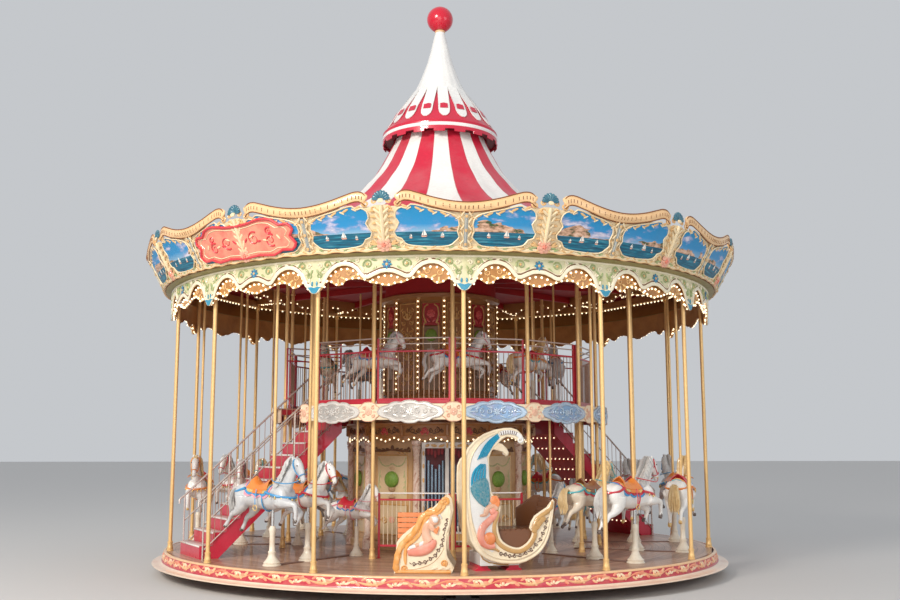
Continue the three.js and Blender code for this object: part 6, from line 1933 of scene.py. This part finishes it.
def moon_face():
    """The relief on a crescent's outer face, drawn flat with the face at y = 0."""
    bm = bmesh.new()
    tube(bm, closed_line(CRESCENT, -0.010), 0.022, 0, closed=True, sides=2)
    moulding = flat_path([(-0.19, 0.92), (-0.195, 0.81), (-0.235, 0.70), (-0.236, 0.575), (-0.185, 0.445),
                          (-0.085, 0.355), (0.06, 0.297), (0.20, 0.300), (0.325, 0.380), (0.395, 0.48),
                          (0.425, 0.575)], 0.004)
    tube(bm, moulding, 0.034, 6, [0.5] + [1.0] * (len(moulding) - 2) + [0.7], sides=2, flat=0.7)
    white = [(-0.63, 1.40), (-0.635, 1.184), (-0.615, 0.966), (-0.575, 0.749), (-0.505, 0.531), (-0.40, 0.36),
             (-0.27, 0.285), (-0.22, 0.335), (-0.25, 0.46), (-0.26, 0.70), (-0.21, 0.86), (-0.215, 1.06),
             (-0.33, 1.15), (-0.337, 1.40), (-0.36, 1.70), (-0.24, 1.905), (-0.13, 2.01), (-0.15, 2.08),
             (-0.32, 2.01), (-0.455, 1.905), (-0.55, 1.78), (-0.61, 1.62)]
    solid_board(bm, white, 0.0, 0.008, 1)
    rim = flat_path([(-0.17, 2.10), (-0.327, 2.027), (-0.463, 1.916), (-0.56, 1.787), (-0.619, 1.622),
                     (-0.639, 1.402), (-0.64, 1.184), (-0.621, 0.966), (-0.599, 0.767), (-0.55, 0.568),
                     (-0.465, 0.387), (-0.335, 0.258), (-0.149, 0.192), (0.102, 0.177), (0.33, 0.247), (0.485, 0.366),
                     (0.585, 0.528), (0.645, 0.729), (0.679, 0.912)], 0.004, 2)
    tube(bm, rim, 0.014, 0, sides=2)
    feathers(bm, [(-0.175, 2.078), (-0.30, 1.99), (-0.405, 1.87), (-0.515, 1.665)],
             [(-0.142, 2.012), (-0.228, 1.920), (-0.285, 1.832), (-0.355, 1.725)], 5, 0.0140,
             [0.4, 0.6, 0.7, 0.78, 0.84, 0.9, 0.96, 1.0, 0.9, 0.45])
    feathers(bm, [(-0.455, 1.615), (-0.56, 1.52), (-0.605, 1.40), (-0.612, 1.26)],
             [(-0.368, 1.612), (-0.360, 1.53), (-0.362, 1.46), (-0.368, 1.40)], 5, 0.0205,
             [0.4, 0.55, 0.7, 0.8, 0.9, 0.98, 1.0, 1.0, 1.0, 0.8])
    line = flat_path([(-0.355, 1.72), (-0.340, 1.60), (-0.330, 1.47), (-0.318, 1.33), (-0.30, 1.20)], 0.010, 3)
    tube(bm, line, 0.012, 1, sides=2)
    disc = [(-0.608, 1.256), (-0.553, 1.329), (-0.466, 1.383), (-0.372, 1.397), (-0.338, 1.327), (-0.318, 1.181),
            (-0.318, 1.071), (-0.344, 1.008), (-0.392, 0.972), (-0.487, 1.037), (-0.563, 1.129), (-0.600, 1.195)]
    solid_board(bm, disc, 0.006, 0.026, 3)
    tube(bm, drawn(disc, 0.022), 0.0094, 3, closed=True)
    for i in range(16):
        turn, reach = i * 2.4, 0.105 * math.sqrt((i + 0.5) / 16)
        ball_of(bm, (-0.452 + reach * math.cos(turn), -0.026, 1.20 + 1.3 * reach * math.sin(turn)),
                (0.013, 0.005, 0.013), 3)
    leaf(bm, (-0.235, 1.065, -0.016), 0.085, 0.075, 0.030, 1.0, 5)
    leaf(bm, (-0.195, 1.02, -0.018), 0.075, 0.050, 0.026, 1.4, 5)
    head = flat_path([(-0.465, 0.835), (-0.385, 0.850), (-0.362, 0.905), (-0.318, 0.960), (-0.245, 0.975),
                      (-0.20, 0.925)], 0.018, 3)
    tube(bm, head, 0.042, 10, [0.35, 0.45, 0.6, 0.75, 0.9] + [1.0] * (len(head) - 7) + [1.0, 0.9], sides=3, flat=0.6)
    ball_of(bm, (-0.262, -0.020, 0.895), (0.056, 0.026, 0.058), 4)
    neck = flat_path([(-0.205, 0.90), (-0.25, 0.82), (-0.335, 0.745), (-0.415, 0.665), (-0.452, 0.567), (-0.44, 0.47),
                      (-0.385, 0.405), (-0.30, 0.375), (-0.235, 0.385)], 0.016, 3)
    count = len(neck)
    tube(bm, neck, 0.052, 4, [0.75 + 0.4 * math.sin(math.pi * i / (count - 1)) for i in range(count)], sides=3,
         flat=0.55)
    ball_of(bm, (-0.315, -0.024, 0.490), (0.096, 0.036, 0.098), 5)
    for i in range(14):
        turn, reach = i * 2.4, 0.070 * math.sqrt((i + 0.5) / 14)
        ball_of(bm, (-0.320 + reach * math.cos(turn), -0.052 + 2.2 * reach * reach, 0.485 + reach * math.sin(turn)),
                (0.011, 0.008, 0.011), 4)
    tube(bm, flat_path([(-0.42, 0.40), (-0.33, 0.345), (-0.235, 0.335), (-0.165, 0.30)], 0.012, 3), 0.018, 6, sides=2)
    top = flat_path([(-0.14, 2.075), (-0.03, 2.098), (0.075, 2.092), (0.160, 2.056), (0.208, 2.00)], 0.010, 6)
    tube(bm, top, 0.034, 1, [0.7] + [1.0] * (len(top) - 2) + [0.7], sides=2, flat=0.5)
    for here, ahead in zip(top[1:16:2], top[2:17:2]):
        across = Vector((-(ahead - here).z, 0, (ahead - here).x)).normalized() * 0.026
        tube(bm, [here + across + Vector((0, -0.016, 0)), here - across + Vector((0, -0.016, 0))], 0.0065, 7)
    curl(bm, (0.183, 1.978), 0.046, 1.0, -1.3, 0.015, 1, 0.014, 16, 0.15, (1.3, 0.8))
    horn = flat_path([(0.36, 0.625), (0.415, 0.69), (0.455, 0.77), (0.53, 0.825), (0.61, 0.875), (0.672, 0.945),
                      (0.70, 1.035)], 0.006, 3)
    tube(bm, horn, 0.032, 6, [0.6, 0.8, 1.0] + [1.0 if i % 3 else 1.25 for i in range(len(horn) - 5)] + [0.9, 0.6],
         sides=3, flat=0.7)
    for x, z, reach, tilt in ((0.425, 0.64, 0.085, 0.5), (0.475, 0.70, 0.085, 0.7), (0.40, 0.60, 0.050, -0.4),
                              (0.535, 0.765, 0.070, 0.8)):
        leaf(bm, (x, z, -0.014), reach, 0.046, 0.022, tilt, 6)
    scroll = flat_path([(-0.13, 0.265), (-0.03, 0.238), (0.083, 0.222), (0.22, 0.245), (0.35, 0.315), (0.465, 0.43),
                        (0.545, 0.56), (0.592, 0.70), (0.63, 0.83)], 0.0, 3)
    running_scroll(bm, scroll, 0.030, 0.006, 7)
    return bm


def side_plate(bm, part, outline, thick, distance, outwards=True, shrink=None):
    """A chariot's side plate, its relief on the face away from the seat, at a distance from the axis."""
    solid_board(part, outline, -thick, 0.0, 0)
    if shrink:
        bmesh.ops.transform(part, matrix=shrink, verts=part.verts)
    flip = Matrix.Diagonal((1, 1 if outwards else -1, 1, 1))
    absorb(bm, part, None, Matrix.Translation((0, -distance, DECK_TOP)) @ flip)


MOON_OUTER, MOON_INNER = 4.71, 3.93
SEAT_OUTER, SEAT_INNER = -4.65, -3.99
SMALLER = Matrix.Translation((0, 0, 0.08)) @ Matrix.Diagonal((0.9, 1, 0.86, 1))
moon_bm = bmesh.new()
side_plate(moon_bm, moon_face(), CRESCENT, 0.054, MOON_OUTER)
side_plate(moon_bm, moon_face(), CRESCENT, 0.054, MOON_INNER, False, SMALLER)
moon_seat = bmesh.new()
solid_board(moon_seat, BOWL, 3.984, 4.656, 8)
SEAT_WALL = [(-0.30, 0.25), (0.35, 0.25), (0.72, 0.70), (0.80, 1.05), (0.755, 1.085), (0.66, 1.085), (0.335, 0.88),
             (0.335, 0.60), (-0.14, 0.60)]
solid_board(moon_seat, SEAT_WALL, 3.95, 3.989, 8)
tube(moon_seat, drawn([(0.335, 0.885), (0.45, 0.955), (0.56, 1.03), (0.66, 1.09), (0.75, 1.088)], 3.975), 0.018, 8,
     sides=2)
for n in range(8):
    board(moon_seat, (-0.135 + 0.089 * n, SEAT_OUTER, 0.6005), (-0.056 + 0.089 * n, SEAT_INNER, 0.622), 8, 0.004)
for n in range(6):
    height = 0.635 + 0.073 * n
    reach = 0.612 + 0.025 * n
    board(moon_seat, (reach - 0.014, SEAT_OUTER, height), (reach + 0.014, SEAT_INNER, height + 0.066), 8, 0.004)
for n in range(8):
    height = 0.625 + 0.076 * n
    reach = -0.165 - (0.046 * n if n < 2 else 0.070 + 0.012 * n)
    board(moon_seat, (reach - 0.012, SEAT_OUTER, height), (reach + 0.012, SEAT_INNER, height + 0.068), 8, 0.004)
board(moon_seat, (-0.447, SEAT_OUTER, 0.0805), (0.178, SEAT_INNER, 0.26), 1, 0.008)
for y in (-4.652, -3.988):
    board(moon_seat, (-0.447, y - 0.006, 0.0805), (-0.24, y + 0.006, 0.115), 1, 0.003)
    tube(moon_seat, drawn([(-0.44, 0.25), (-0.40, 0.18), (-0.31, 0.13), (-0.16, 0.10), (0.0, 0.095)], -y), 0.0094, 6)
for x in (-0.385, 0.11):
    solid_board(moon_seat, [(x - 0.13, 0.0005), (x + 0.13, 0.0005), (x + 0.115, 0.022), (x + 0.078, 0.040),
                            (x + 0.07, 0.0805), (x - 0.07, 0.0805), (x - 0.078, 0.040), (x - 0.115, 0.022)], 4.055,
                4.585, 9)
absorb(moon_bm, moon_seat, None, Matrix.Translation((0, 0, DECK_TOP)))
piece("moon_chariots", copies_round(moon_bm, [MOON_TURN, MOON_TURN + math.pi]), CHARIOT_PAINTS,
      ["moon_chariot_1", "moon_chariot_2"])

# Sleighs: carved side plates, low in front and high behind, round a slatted bench with its back along
# the inner side. An orange border frames a cream field with a resting swan and a painted scroll.
SLEIGH_TURN = math.radians(-7.5)
SLEIGH_SIDE = [(-0.39, 0.0005), (-0.30, 0.0005), (0.30, 0.0005), (0.47, 0.0005), (0.51, 0.09), (0.40, 0.26),
               (0.40, 0.56), (0.47, 0.90), (0.44, 1.08), (0.38, 1.14), (0.29, 1.06), (0.12, 0.90), (-0.06, 0.72),
               (-0.27, 0.56), (-0.35, 0.46), (-0.37, 0.26), (-0.40, 0.13)]


def sleigh_face():
    bm = bmesh.new()
    border = [(-0.352, 0.03), (-0.362, 0.13), (-0.335, 0.26), (-0.300, 0.37), (-0.235, 0.455), (-0.165, 0.520),
              (-0.095, 0.595), (-0.035, 0.69), (0.015, 0.80), (0.085, 0.865), (0.175, 0.888), (0.255, 0.925),
              (0.305, 0.995), (0.345, 1.065)]
    path = flat_path(border, 0.004, 2)
    tube(bm, path, 0.046, 11, [0.7] + [1.0 if i % 3 else 1.22 for i in range(len(path) - 2)] + [0.9], sides=3,
         flat=0.6)
    inner = flat_path([(-0.215, 0.13), (-0.225, 0.27), (-0.195, 0.40), (-0.10, 0.475), (-0.02, 0.56), (0.035, 0.67),
                       (0.075, 0.775), (0.135, 0.835), (0.235, 0.860), (0.325, 0.935), (0.385, 1.02)], 0.008, 2)
    tube(bm, inner, 0.026, 11, [0.5] + [1.0] * (len(inner) - 2) + [0.7], sides=2, flat=0.7)
    for x, z, tilt in ((-0.345, 0.19, 1.5), (-0.315, 0.33, 1.2), (-0.20, 0.50, 0.7), (-0.065, 0.645, 1.0),
                       (0.0, 0.775, 1.1), (0.13, 0.885, 0.1), (0.27, 0.955, 0.8)):
        leaf(bm, (x, z, -0.026), 0.075, 0.040, 0.022, tilt, 11)
    curl(bm, (0.385, 1.055), 0.055, 2.6, -1.4, 0.024, 11, 0.012, 16, 0.15)
    ball_of(bm, (0.330, -0.022, 1.045), (0.036, 0.026, 0.036), 11)
    right = flat_path([(0.44, 1.00), (0.452, 0.88), (0.425, 0.70), (0.385, 0.56), (0.385, 0.30), (0.425, 0.19),
                       (0.48, 0.09)], 0.002)
    tube(bm, right, 0.018, 0, sides=2)
    tube(bm, flat_path([(-0.37, 0.026), (0.0, 0.024), (0.46, 0.026)], 0.004, 4), 0.026, 11, sides=2, flat=0.7)
    arc = flat_path([(0.425, 0.60), (0.37, 0.42), (0.285, 0.26), (0.14, 0.135), (-0.07, 0.07), (-0.25, 0.06)], 0.002,
                    4)
    tube(bm, arc, 0.012, 0, sides=2)
    body = flat_path([(-0.185, 0.315), (-0.09, 0.330), (0.01, 0.350), (0.10, 0.385), (0.165, 0.44), (0.175, 0.50)],
                     0.010, 4)
    count = len(body)
    tube(bm, body, 0.098, 4,
         [0.30 + 0.70 * math.sin(math.pi * (0.12 + 0.72 * i / (count - 1))) for i in range(count)], sides=4,
         flat=0.40)
    neck = flat_path([(0.145, 0.47), (0.100, 0.53), (0.085, 0.62), (0.115, 0.72), (0.19, 0.775)], 0.018, 4)
    tube(bm, neck, 0.062, 10, [1.15 - 0.35 * i / (len(neck) - 1) for i in range(len(neck))], sides=3, flat=0.5)
    ball_of(bm, (0.215, -0.026, 0.785), (0.082, 0.034, 0.082), 10)
    ball_of(bm, (0.230, -0.050, 0.792), (0.046, 0.020, 0.046), 1)
    for reach, start, stop in ((0.112, -130, 90), (0.096, -140, 60)):
        tube(bm, [Vector((0.215 + reach * math.sin(a), -0.010, 0.785 + reach * math.cos(a)))
                  for a in (math.radians(t) for t in range(start, stop, 15))], 0.0094, 1)
    leaf(bm, (0.175, 0.680, -0.030), 0.070, 0.044, 0.026, -1.1, 10)
    leaf(bm, (0.222, 0.635, -0.026), 0.075, 0.030, 0.020, -0.9, 5)
    leaf(bm, (0.262, 0.650, -0.022), 0.055, 0.022, 0.016, 1.2, 5)
    for i in range(4):
        leaf(bm, (-0.10 + 0.060 * i, 0.395 + 0.022 * i, -0.036), 0.090 - 0.008 * i, 0.030, 0.018, 0.30 + 0.10 * i,
             10 if i % 2 else 1)
    scroll = flat_path([(0.415, 0.78), (0.378, 0.68), (0.365, 0.56), (0.335, 0.45), (0.275, 0.335), (0.19, 0.235),
                        (0.07, 0.170), (-0.05, 0.142), (-0.19, 0.150)], 0.0, 3)
    running_scroll(bm, scroll, 0.030, 0.006, 7)
    for x, z in ((-0.235, 0.068), (0.365, 0.150)):
        ball_of(bm, (x, -0.006, z), (0.030, 0.016, 0.030), 11)
        tube(bm, [Vector((x + 0.042 * math.cos(a), -0.006, z + 0.042 * math.sin(a)))
                  for a in (2 * math.pi * i / 14 for i in range(14))], 0.0094, 11, closed=True)
    for i in range(5):
        leaf(bm, (0.20 + 0.052 * i, 0.075 + 0.016 * (i % 2), -0.008), 0.046, 0.022, 0.014, 0.3 - 0.5 * (i % 2), 0)
    return bm


SLEIGH_OUTER, SLEIGH_INNER = 4.89, 4.16
sleigh_bm = bmesh.new()
side_plate(sleigh_bm, sleigh_face(), SLEIGH_SIDE, 0.049, SLEIGH_OUTER)
side_plate(sleigh_bm, sleigh_face(), SLEIGH_SIDE, 0.049, SLEIGH_INNER, False)
sleigh_seat = bmesh.new()
board(sleigh_seat, (-0.34, -4.841, 0.30), (0.30, -4.209, 0.36), 8, 0.006)
for n in range(7):
    board(sleigh_seat, (-0.335 + 0.090 * n, -4.835, 0.3605), (-0.255 + 0.090 * n, -4.215, 0.382), 5, 0.005)
for n in range(6):
    board(sleigh_seat, (-0.41, -4.200, 0.375 + 0.081 * n), (0.15, -4.172, 0.446 + 0.081 * n), 5, 0.005)
for x in (-0.385, -0.13, 0.09):
    board(sleigh_seat, (x, -4.172, 0.34), (x + 0.035, -4.161, 0.855), 8, 0.003)
board(sleigh_seat, (-0.30, -4.835, 0.0005), (0.30, -4.215, 0.12), 8, 0.006)
for x0, x1 in ((-0.26, -0.20), (0.15, 0.21)):
    board(sleigh_seat, (x0, -4.83, 0.12), (x1, -4.22, 0.30), 8, 0.006)
absorb(sleigh_bm, sleigh_seat, None, Matrix.Translation((0, 0, DECK_TOP)))
piece("sleighs", copies_round(sleigh_bm, [SLEIGH_TURN, SLEIGH_TURN + math.pi]), CHARIOT_PAINTS,
      ["sleigh_1", "sleigh_2"])
